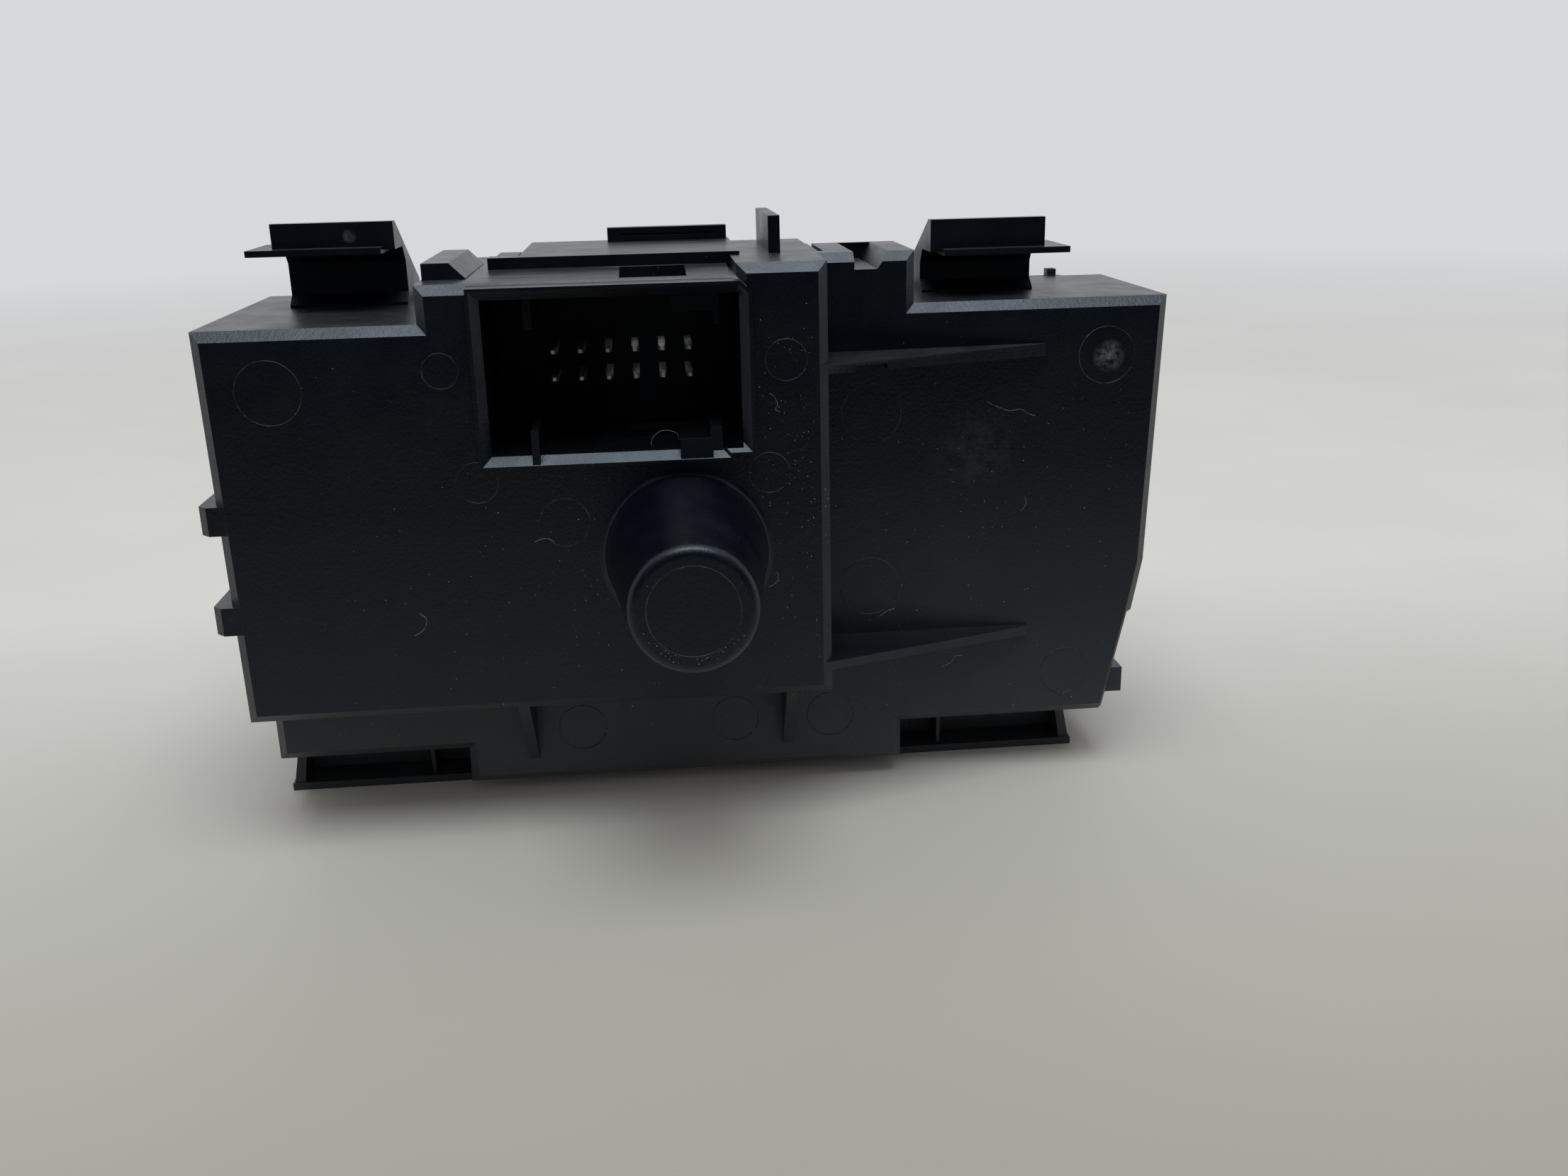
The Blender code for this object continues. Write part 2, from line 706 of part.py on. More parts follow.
def add_ribs(body):
    """Two wedge ribs on the shallow plane and two gussets below the deep block"""
    join(body, wedge_rib("rib_upper", UPPER_RIB_Z, UPPER_RIB_TIP, UPPER_RIB_ROOT, UPPER_RIB_THICKNESS))
    low = (RIB_NOTCH_LEFT, 0.0, UPPER_RIB_Z - UPPER_RIB_THICKNESS)
    high = (RIB_NOTCH_RIGHT, SHALLOW_STEP - RIB_TOE, UPPER_RIB_Z + RIB_NOTCH_RISE)
    cut(body, box_solid("rib_notch", low, high))
    join(body, wedge_rib("rib_lower", LOWER_RIB_Z, LOWER_RIB_TIP, LOWER_RIB_ROOT, LOWER_RIB_THICKNESS))
    for name, across in (("gusset_left", LEFT_GUSSET_X), ("gusset_right", RIGHT_GUSSET_X)):
        corners = [
            (EDGE_CHAMFER, DEEP_FOOT + OVERLAP),
            (SHALLOW_STEP - RIB_TOE, GUSSET_FOOT),
            (SHALLOW_STEP + OVERLAP, GUSSET_FOOT),
            (SHALLOW_STEP + OVERLAP, DEEP_FOOT + OVERLAP),
        ]
        start = across - GUSSET_THICKNESS / 2
        join(body, flat_solid(name, corners, start, start + GUSSET_THICKNESS, FLAT_ALONG_X))


def add_tabs(body):
    """Small rectangular tabs on the two sides"""
    root = DEEP_LEFT + TAB_ROOT
    corners = [
        (TAB_SIDE + TAB_CHAMFER, TAB_REAR),
        (root, TAB_REAR),
        (root, TAB_LENGTH),
        (TAB_SIDE, TAB_LENGTH),
        (TAB_SIDE, TAB_REAR + TAB_CHAMFER),
    ]
    for name, level in (("tab_upper", UPPER_TAB_Z), ("tab_lower", LOWER_TAB_Z)):
        foot = level - TAB_HEIGHT / 2
        join(body, flat_solid(name, corners, foot, foot + TAB_HEIGHT, Matrix.Identity(4)))
    low = (RIGHT_FOOT_X - WALL / 4, SHALLOW_STEP + EDGE_CHAMFER, RIGHT_TAB_Z - TAB_HEIGHT / 2)
    high = (RIGHT_NOTCH_X - RIGHT_NOTCH_STEP, SHALLOW_STEP + TAB_LENGTH, RIGHT_TAB_Z + TAB_HEIGHT / 2)
    join(body, box_solid("tab_right", low, high))


def add_clip(body, name, inner, outer, seat, wing, crest):
    """A snap clip on a shoulder: web, thin wing and a wedge shaped hook above it"""
    side = -1.0 if outer < inner else 1.0
    left = min(inner, outer)
    right = max(inner, outer)
    top = wing + CLIP_WING_THICKNESS
    middle = (wing + top) / 2
    profile = [
        (CLIP_WEB_REAR - CLIP_FILLET, seat - OVERLAP),
        (CLIP_FRONT, seat - OVERLAP),
        (CLIP_FRONT, seat + CLIP_BACK_HEIGHT),
        (CLIP_REAR + CLIP_HOOK_CREST, crest),
        (CLIP_REAR, crest),
        (CLIP_REAR, middle),
        (CLIP_WEB_REAR - CLIP_FILLET, middle),
        (CLIP_WEB_REAR, wing - CLIP_FILLET),
        (CLIP_WEB_REAR, seat + CLIP_FILLET),
        (CLIP_WEB_REAR - CLIP_FILLET, seat + CLIP_FILLET / 4),
    ]
    join(body, flat_solid(name + "_web", profile, left, right, FLAT_ALONG_X))
    reach = outer + side * CLIP_WING_REACH
    near = inner + side * CLIP_WING_REACH / 2
    low = (min(reach, near), CLIP_REAR - CLIP_WING_NOSE, wing)
    high = (max(reach, near), CLIP_WEB_REAR + CLIP_WING_NOSE, top)
    join(body, box_solid(name + "_wing", low, high))


def add_foot_clip(body, name, outer, root, side):
    """A snap clip beside the foot: thin sole, web behind it, flared outer wall and a thin rib"""
    sole = FOOT_CLIP_FOOT
    seat = LEFT_FOOT_SHOULDER + WALL / 2
    sunk = root - side * OVERLAP
    low = (min(sunk, outer), FOOT_CLIP_REAR, sole)
    high = (max(sunk, outer), FOOT_CLIP_FRONT, sole + FOOT_CLIP_THICKNESS)
    join(body, box_solid(name + "_sole", low, high))
    web = FOOT_CLIP_REAR + FOOT_CLIP_LENGTH / 3
    tip = outer - side * FOOT_CLIP_FLARE
    low = (min(sunk, tip), web, sole + FOOT_CLIP_THICKNESS / 2)
    high = (max(sunk, tip), FOOT_CLIP_FRONT - OVERLAP, seat)
    join(body, box_solid(name + "_web", low, high))
    flare = [
        (outer - side * OVERLAP / 6, sole + FOOT_CLIP_THICKNESS / 3),
        (tip, seat + OVERLAP / 6),
        (tip - side * FOOT_CLIP_THICKNESS, seat + OVERLAP / 6),
        (outer - side * FOOT_CLIP_THICKNESS * 1.5, sole + FOOT_CLIP_THICKNESS / 3),
    ]
    start = FOOT_CLIP_REAR + OVERLAP / 3
    join(body, flat_solid(name + "_flare", flare, start, FOOT_CLIP_FRONT - OVERLAP * 2))
    across = outer - side * FOOT_CLIP_RIB_REACH
    low = (across - FOOT_CLIP_RIB / 2, start + OVERLAP, sole + FOOT_CLIP_THICKNESS / 3)
    high = (across + FOOT_CLIP_RIB / 2, web + OVERLAP, seat - OVERLAP / 6)
    join(body, box_solid(name + "_rib", low, high))


def cut_crest(body):
    """The crest ends before the front; a sloped groove and a slot run along it"""
    low = (CREST_LEFT - OVERLAP, CREST_FRONT, RAISED_TOP)
    high = (RAISED_RIGHT + OVERLAP, BODY_DEPTH + OVERLAP, CREST_TOP + OVERLAP)
    cut(body, box_solid("crest_end", low, high))
    groove = [
        (GROOVE_LEFT, GROOVE_FLOOR),
        (GROOVE_RIGHT - GROOVE_SLOPE, GROOVE_FLOOR),
        (GROOVE_RIGHT, CREST_TOP + OVERLAP),
        (GROOVE_LEFT, CREST_TOP + OVERLAP),
    ]
    cut(body, flat_solid("crest_groove", groove, SHALLOW_STEP - OVERLAP, CREST_FRONT - OVERLAP))
    low = (PLATFORM_RIGHT + OVERLAP / 6, PLATFORM_REAR + OVERLAP * 2, RAISED_TOP - OVERLAP / 6)
    high = (PLATFORM_RIGHT + SLOT_WIDTH, CREST_FRONT + OVERLAP, CREST_TOP + OVERLAP)
    cut(body, box_solid("crest_slot", low, high))


def cut_side_notch(body):
    """The lower right side steps in a little below the notch"""
    step = RIGHT_NOTCH_STEP
    foot = RIGHT_FOOT_SHOULDER - OVERLAP
    slope = (RIGHT_NOTCH_X - RIGHT_FOOT_X) / (RIGHT_NOTCH_Z - RIGHT_FOOT_SHOULDER)
    low_x = RIGHT_FOOT_X - slope * OVERLAP
    outline = [
        (low_x - step, foot),
        (RIGHT_TOP_X, foot),
        (RIGHT_TOP_X, RIGHT_NOTCH_Z),
        (RIGHT_NOTCH_X - step, RIGHT_NOTCH_Z),
    ]
    cut(body, flat_solid("side_notch", outline, SHALLOW_STEP - OVERLAP, BODY_DEPTH + OVERLAP))


def add_top(body):
    """The ramp over the socket, the platform behind it, its fin, lip plate and guide blocks"""
    foot = RAISED_TOP - WALL / 2
    ramp = [
        (-SOCKET_RIM, foot),
        (PLATFORM_REAR + OVERLAP, foot),
        (PLATFORM_REAR + OVERLAP, RAMP_TOP),
        (-SOCKET_RIM, SOCKET_TOP),
    ]
    join(body, flat_solid("ramp", ramp, SOCKET_LEFT, RAMP_RIGHT, FLAT_ALONG_X))
    low = (PLATFORM_LEFT, PLATFORM_REAR, foot)
    high = (PLATFORM_STEP_X, PLATFORM_FRONT, PLATFORM_TOP)
    join(body, box_solid("platform", low, high))
    low = (PLATFORM_STEP_X - OVERLAP, CREST_FRONT - OVERLAP, foot)
    high = (PLATFORM_RIGHT, PLATFORM_FRONT, CREST_TOP - PLATFORM_DROP)
    join(body, box_solid("platform_right", low, high))
    low = (BAR_LEFT, PLATFORM_REAR, foot)
    high = (PLATFORM_LEFT + OVERLAP, PLATFORM_REAR + BAR_LENGTH, PLATFORM_TOP)
    join(body, box_solid("bar", low, high))
    low = (FIN_X - FIN_THICKNESS / 2, FIN_REAR, CREST_TOP - OVERLAP)
    high = (FIN_X + FIN_THICKNESS / 2, FIN_REAR + FIN_LENGTH, FIN_TOP)
    join(body, box_solid("fin", low, high))
    low = (LIP_LEFT, LIP_REAR, PLATFORM_TOP - OVERLAP)
    high = (LIP_RIGHT, LIP_REAR + LIP_THICKNESS, LIP_TOP)
    join(body, box_solid("lip", low, high))
    low = (LIP_LEFT + LIP_POST, LIP_REAR - OVERLAP, PLATFORM_TOP + LIP_HOLLOW)
    high = (LIP_RIGHT - LIP_POST, LIP_REAR + LIP_HOLLOW, LIP_TOP - LIP_HOLLOW)
    cut(body, box_solid("lip_hollow", low, high))
    block = [
        (BLOCK_LEFT, foot),
        (BLOCK_RIGHT + BLOCK_SLOPE, foot),
        (BLOCK_RIGHT + BLOCK_SLOPE, RAISED_TOP + OVERLAP / 6),
        (BLOCK_RIGHT, BLOCK_TOP),
        (BLOCK_LEFT, BLOCK_TOP),
    ]
    join(body, flat_solid("guide_block", block, BLOCK_REAR, CREST_FRONT))
    low = (PLATE_LEFT, PLATE_REAR, foot)
    high = (PLATE_RIGHT, CREST_FRONT, PLATE_TOP)
    join(body, box_solid("guide_plate", low, high))


def add_socket(body):
    """The plug socket: rim, box inside the housing, mouth, window, keys and pin holes"""
    wall = SOCKET_WALL
    rim = [
        (SOCKET_LEFT, SOCKET_FOOT),
        (SOCKET_STEP_X, SOCKET_FOOT),
        (SOCKET_STEP_X, SOCKET_FOOT + SOCKET_STEP),
        (SOCKET_RIGHT, SOCKET_FOOT + SOCKET_STEP),
        (SOCKET_RIGHT, SOCKET_TOP - SOCKET_CORNER),
        (SOCKET_RIGHT - SOCKET_CORNER, SOCKET_TOP),
        (SOCKET_LEFT, SOCKET_TOP),
    ]
    join(body, flat_solid("socket_box", rim, -SOCKET_RIM, SOCKET_END + SOCKET_FLOOR))
    mouth = inset(rectangle(SOCKET_LEFT, SOCKET_FOOT, SOCKET_RIGHT, SOCKET_TOP), wall)
    cut(body, flat_solid("socket_mouth", mouth, -SOCKET_RIM * 2, SOCKET_END))
    slope = SOCKET_LEAD + SOCKET_LEAD_RUN
    lead = inset(rim, wall - SOCKET_LEAD)
    cut(body, flat_solid("socket_lead", lead, -SOCKET_RIM * 2, slope - SOCKET_RIM, far=slope))
    low = (WINDOW_LEFT, WINDOW_REAR, SOCKET_TOP - wall * 2)
    high = (WINDOW_RIGHT, PLATFORM_REAR - OVERLAP / 2, PLATFORM_TOP)
    cut(body, box_solid("socket_window", low, high))
    for index, (across, up) in enumerate(pin_places()):
        half = PIN_SIZE / 2 + GAP
        low = (across - half, SOCKET_END - SOCKET_FLOOR, up - half)
        high = (across + half, SOCKET_END + SOCKET_FLOOR * 2, up + half)
        cut(body, box_solid("pin_hole_%02d" % (index + 1), low, high))


def socket_keys(body):
    """Coding keys and latch blocks inside the socket mouth"""
    floor = SOCKET_FOOT + SOCKET_WALL
    root = SOCKET_FOOT + SOCKET_WALL / 4
    roof = SOCKET_TOP - SOCKET_WALL
    sink = OVERLAP / 2
    for name, across, width, reach, rear, front in FOOT_KEYS:
        left = SOCKET_LEFT + across
        join(body, box_solid(name, (left, rear, root), (left + width, front, floor + reach)))
    for name, across, width, reach, rear, front in TOP_KEYS:
        left = SOCKET_LEFT + across
        join(body, box_solid(name, (left, rear, roof - reach), (left + width, front, roof + sink)))


def make_housing(material):
    """The rear housing, one moulding open at the front"""
    body = flat_solid(
        "rear_housing", shallow_outline(), SHALLOW_STEP, BODY_DEPTH, near=EDGE_CHAMFER, tool=False)
    deep_end = SHALLOW_STEP + WALL * 2
    join(body, flat_solid("deep_block", deep_outline(), 0.0, deep_end, near=EDGE_CHAMFER))
    cut_crest(body)
    cut_side_notch(body)
    hollow = inset(shallow_outline(), WALL)
    cut(body, flat_solid("shallow_hollow", hollow, SHALLOW_STEP + WALL, BODY_DEPTH + WALL))
    hollow = inset(deep_outline(), WALL + OVERLAP / 6)
    cut(body, flat_solid("deep_hollow", hollow, WALL, deep_end + OVERLAP))
    add_top(body)
    add_stub(body)
    add_ribs(body)
    add_tabs(body)
    add_clip(
        body, "clip_left", LEFT_CLIP_INNER, LEFT_CLIP_OUTER,
        LEFT_SHOULDER_TOP, LEFT_CLIP_WING, LEFT_CLIP_TOP)
    add_clip(
        body, "clip_right", RIGHT_CLIP_INNER, RIGHT_CLIP_OUTER,
        RIGHT_SHOULDER_TOP, RIGHT_CLIP_WING, RIGHT_CLIP_TOP)
    add_foot_clip(body, "foot_clip_left", FOOT_CLIP_LEFT, FOOT_LEFT, -1.0)
    add_foot_clip(body, "foot_clip_right", FOOT_CLIP_RIGHT, FOOT_RIGHT, 1.0)
    for index, place in enumerate(post_places()):
        deep = place[0] < DEEP_RIGHT and place[1] - POST_RADIUS > DEEP_FOOT
        root = WALL / 2 if deep else SHALLOW_STEP + WALL / 2
        join(body, rod_solid("post_%d" % (index + 1), place, POST_RADIUS, root, BOARD_REAR - GAP))
    for index, place in enumerate(post_places()[:2]):
        end = BOARD_FRONT + GAP - SCREW_LENGTH - GAP
        bore = SCREW_RADIUS + GAP
        cut(body, rod_solid("post_bore_%d" % (index + 1), place, bore, end, BOARD_REAR + GAP))
    add_socket(body)
    socket_keys(body)
    centre = (STUB_X, STUB_Z)
    cut(body, rod_solid("stub_bore", centre, BORE_RADIUS, SHAFT_REAR - GAP, WALL * 2, steps=ROUND_STEPS))
    return finish(body, material)


def make_pins(material):
    """Twelve square contact pins with tapered tips"""
    for index, (across, up) in enumerate(pin_places()):
        name = "contact_pin_%02d" % (index + 1)
        shape = bmesh.new()
        bmesh.ops.create_cube(shape, size=1.0)
        low = PIN_REAR
        high = BOARD_FRONT + PIN_SOLDER_END
        bmesh.ops.scale(shape, vec=(PIN_SIZE, high - low, PIN_SIZE), verts=shape.verts)
        bmesh.ops.translate(shape, vec=(0.0, (low + high) / 2, 0.0), verts=shape.verts)
        bmesh.ops.bisect_plane(
            shape, geom=shape.verts[:] + shape.edges[:] + shape.faces[:],
            plane_co=(0.0, low + PIN_TAPER, 0.0), plane_no=(0.0, 1.0, 0.0))
        tip = [vert for vert in shape.verts if vert.co.y < low + PIN_TAPER / 2]
        bmesh.ops.scale(shape, vec=(PIN_TIP_SHARE, 1.0, PIN_TIP_SHARE), verts=tip)
        bmesh.ops.translate(shape, vec=(across, 0.0, up), verts=shape.verts)
        mesh = bpy.data.meshes.new(name)
        shape.to_mesh(mesh)
        shape.free()
        finish(make_object(name, mesh), material)


def make_board(material):
    """The circuit board with holes for the shaft, the pins and its screws"""
    outline = rectangle(BOARD_LEFT, BOARD_FOOT, BOARD_RIGHT, BOARD_TOP)
    board = flat_solid("circuit_board", outline, BOARD_REAR, BOARD_FRONT, tool=False)
    rear = BOARD_REAR - GAP
    front = BOARD_FRONT + GAP
    hole = rod_solid("board_shaft_hole", (STUB_X, STUB_Z), BORE_RADIUS + GAP, rear, front, steps=ROUND_STEPS)
    cut(board, hole)
    for index, place in enumerate(post_places()[:2]):
        cut(board, rod_solid("board_screw_hole_%d" % (index + 1), place, SCREW_RADIUS + GAP, rear, front))
    for index, (across, up) in enumerate(pin_places()):
        half = BOARD_PIN_HOLE
        low = (across - half, rear, up - half)
        high = (across + half, front, up + half)
        cut(board, box_solid("board_pin_hole_%02d" % (index + 1), low, high))
    finish(board, material)


def make_screws(material):
    """Two pan head screws that hold the board to its posts"""
    for index, place in enumerate(post_places()[:2]):
        seat = BOARD_FRONT + GAP
        top = seat + SCREW_HEAD_HEIGHT
        profile = [
            (0.0, top),
            (SCREW_HEAD_RADIUS * 0.7, top),
            (SCREW_HEAD_RADIUS, seat + SCREW_HEAD_HEIGHT * 0.45),
            (SCREW_HEAD_RADIUS, seat),
            (SCREW_RADIUS, seat),
            (SCREW_RADIUS, seat - SCREW_LENGTH + SCREW_RADIUS),
            (0.0, seat - SCREW_LENGTH),
        ]
        name = "board_screw_%d" % (index + 1)
        finish(turned_solid(name, profile, place, steps=SMALL_STEPS, tool=False), material)


def led_places():
    """Lamp chips: one behind each button and two under the light ring"""
    reach = (RING_INNER + RING_OUTER) / 2
    across = reach * math.cos(RING_LED_ANGLE)
    rise = reach * math.sin(RING_LED_ANGLE)
    return [
        ("led_upper_button", BUTTON_X + BUTTON_WIDTH * 0.36, BUTTON_UPPER_Z),
        ("led_lower_button", BUTTON_X + BUTTON_WIDTH * 0.36, BUTTON_LOWER_Z),
        ("led_ring_upper", STUB_X + across, STUB_Z + rise),
        ("led_ring_lower", STUB_X - across, STUB_Z - rise),
    ]


def make_leds(material):
    """Four small lamp chips on the front of the board"""
    for name, across, up in led_places():
        half = LED_SIZE / 2
        seat = BOARD_FRONT + GAP
        low = (across - half, seat, up - half)
        high = (across + half, seat + LED_HEIGHT, up + half)
        finish(box_solid(name, low, high, tool=False, bevel=0.0002), material)


def make_mat(material):
    """Rubber mat with a dome under each button stem"""
    left = BUTTON_X - BUTTON_STEM_RADIUS - MAT_DOME_RADIUS - MAT_MARGIN
    right = BUTTON_X + BUTTON_STEM_RADIUS + MAT_MARGIN
    foot = BUTTON_LOWER_Z - MAT_DOME_RADIUS - MAT_MARGIN * 2
    top = BUTTON_UPPER_Z + MAT_DOME_RADIUS + MAT_MARGIN * 2
    seat = BOARD_FRONT + GAP
    outline = rectangle(left, foot, right, top)
    mat = flat_solid("switch_mat", outline, seat, seat + MAT_THICKNESS, tool=False)
    for name, up in (("dome_upper", BUTTON_UPPER_Z), ("dome_lower", BUTTON_LOWER_Z)):
        base = seat + MAT_THICKNESS
        profile = [
            (0.0, base + MAT_DOME_HEIGHT),
            (MAT_DOME_RADIUS * 0.55, base + MAT_DOME_HEIGHT),
            (MAT_DOME_RADIUS * 0.7, base + MAT_DOME_HEIGHT * 0.7),
            (MAT_DOME_RADIUS, base - MAT_THICKNESS / 2),
            (0.0, base - MAT_THICKNESS / 2),
        ]
        join(mat, turned_solid(name, profile, (BUTTON_X, up), steps=SMALL_STEPS))
    finish(mat, material)


def make_shaft(material, pivot):
    """The knob shaft, from the stub to the knob"""
    profile = [
        (0.0, SHAFT_FRONT),
        (SHAFT_RADIUS, SHAFT_FRONT),
        (SHAFT_RADIUS, SHAFT_REAR),
        (0.0, SHAFT_REAR),
    ]
    finish(turned_solid("knob_shaft", profile, (STUB_X, STUB_Z), tool=False), material, pivot)


def toothed_outline(radius, depth, teeth, across=0.0, up=0.0):
    """A round outline with shallow flutes"""
    points = []
    for index in range(teeth * 2):
        angle = math.tau * (index + 0.5) / (teeth * 2)
        reach = radius if index % 2 == 0 else radius - depth
        points.append((across + reach * math.cos(angle), up + reach * math.sin(angle)))
    return points


def make_rotor(material, pivot):
    """The notched switch rotor on the shaft"""
    outline = toothed_outline(ROTOR_RADIUS, ROTOR_NOTCH, ROTOR_LOBES, STUB_X, STUB_Z)
    rotor = flat_solid("switch_rotor", outline, ROTOR_REAR, ROTOR_FRONT, tool=False)
    hole = rod_solid(
        "rotor_bore", (STUB_X, STUB_Z), BORE_RADIUS, ROTOR_REAR - GAP, ROTOR_FRONT + GAP, steps=ROUND_STEPS)
    cut(rotor, hole)
    finish(rotor, material, pivot)


def make_wiper(material, pivot):
    """The spring contact under the rotor, with three feet near the board"""
    rear = WIPER_FRONT - WIPER_THICKNESS
    profile = [
        (WIPER_RADIUS, WIPER_FRONT),
        (WIPER_RADIUS, rear),
        (WIPER_RADIUS - WIPER_WIDTH, rear),
        (WIPER_RADIUS - WIPER_WIDTH, WIPER_FRONT),
    ]
    wiper = turned_solid("contact_wiper", profile, (STUB_X, STUB_Z), closed=True, tool=False)
    reach = WIPER_RADIUS - WIPER_WIDTH / 2
    for index in range(3):
        angle = math.tau * index / 3
        across = STUB_X + reach * math.cos(angle)
        up = STUB_Z + reach * math.sin(angle)
        half = WIPER_FOOT / 2
        low = (across - half, BOARD_FRONT + GAP, up - half)
        high = (across + half, rear + WIPER_THICKNESS / 2, up + half)
        join(wiper, box_solid("wiper_foot_%d" % (index + 1), low, high))
    finish(wiper, material, pivot)


def make_knob(material, pivot):
    """The fluted knob with a recess for its trim ring and pointer"""
    outline = toothed_outline(KNOB_RADIUS, KNOB_FLUTE, KNOB_FLUTES, STUB_X, STUB_Z)
    knob = flat_solid("rotary_knob", outline, KNOB_REAR, KNOB_FRONT, far=KNOB_CROWN, tool=False)
    cut(knob, rod_solid(
        "knob_bore", (STUB_X, STUB_Z), BORE_RADIUS, KNOB_REAR - GAP, SHAFT_FRONT + GAP, steps=ROUND_STEPS))
    outer = KNOB_TRIM_RADIUS + GAP
    inner = KNOB_TRIM_RADIUS - KNOB_TRIM_WIDTH - GAP
    groove = [
        (outer, KNOB_FRONT + GAP),
        (outer, KNOB_FRONT - KNOB_TRIM_HEIGHT),
        (inner, KNOB_FRONT - KNOB_TRIM_HEIGHT),
        (inner, KNOB_FRONT + GAP),
    ]
    cut(knob, turned_solid("trim_groove", groove, (STUB_X, STUB_Z), closed=True, steps=FINE_STEPS))
    half = POINTER_WIDTH / 2 + GAP
    top = STUB_Z + KNOB_TRIM_RADIUS - KNOB_TRIM_WIDTH - GAP * 3
    low = (STUB_X - half, KNOB_FRONT - POINTER_DEPTH - GAP, top - POINTER_LENGTH - GAP * 2)
    high = (STUB_X + half, KNOB_FRONT + GAP, top)
    cut(knob, box_solid("pointer_recess", low, high))
    finish(knob, material, pivot)


def make_knob_trim(material, pivot):
    """A bright ring let into the knob's face"""
    rear = KNOB_FRONT - KNOB_TRIM_HEIGHT + GAP
    front = KNOB_FRONT + GAP
    middle = KNOB_TRIM_RADIUS - KNOB_TRIM_WIDTH / 2
    profile = [
        (middle, front),
        (KNOB_TRIM_RADIUS, front - GAP),
        (KNOB_TRIM_RADIUS, rear),
        (KNOB_TRIM_RADIUS - KNOB_TRIM_WIDTH, rear),
        (KNOB_TRIM_RADIUS - KNOB_TRIM_WIDTH, front - GAP),
    ]
    centre = (STUB_X, STUB_Z)
    ring = turned_solid("knob_trim_ring", profile, centre, closed=True, steps=FINE_STEPS, tool=False)
    finish(ring, material, pivot)


def make_pointer(material, pivot):
    """The white pointer bar on the knob"""
    top = STUB_Z + KNOB_TRIM_RADIUS - KNOB_TRIM_WIDTH - GAP * 4
    low = (STUB_X - POINTER_WIDTH / 2, KNOB_FRONT - POINTER_DEPTH, top - POINTER_LENGTH)
    high = (STUB_X + POINTER_WIDTH / 2, KNOB_FRONT, top)
    finish(box_solid("knob_pointer", low, high, tool=False), material, pivot)


def wheel_slot_half(place):
    """Half height of a slot that clears the thumbwheel at a plane across it"""
    rise = max(abs(place - WHEEL_Y), 0.0)
    return math.sqrt(max(WHEEL_RADIUS ** 2 - rise ** 2, WHEEL_TOOTH ** 2)) + GAP * 2


def spring_posts():
    """The two posts on the front frame that hold the detent spring's ends"""
    level = STUB_Z + ROTOR_RADIUS + GAP + SPRING_RISE
    reach = SPRING_HALF_SPAN
    return [(STUB_X - reach, level), (STUB_X + reach, level)]


def button_places():
    """Name and height of each push button"""
    return [("front_fog_button", BUTTON_UPPER_Z), ("rear_fog_button", BUTTON_LOWER_Z)]


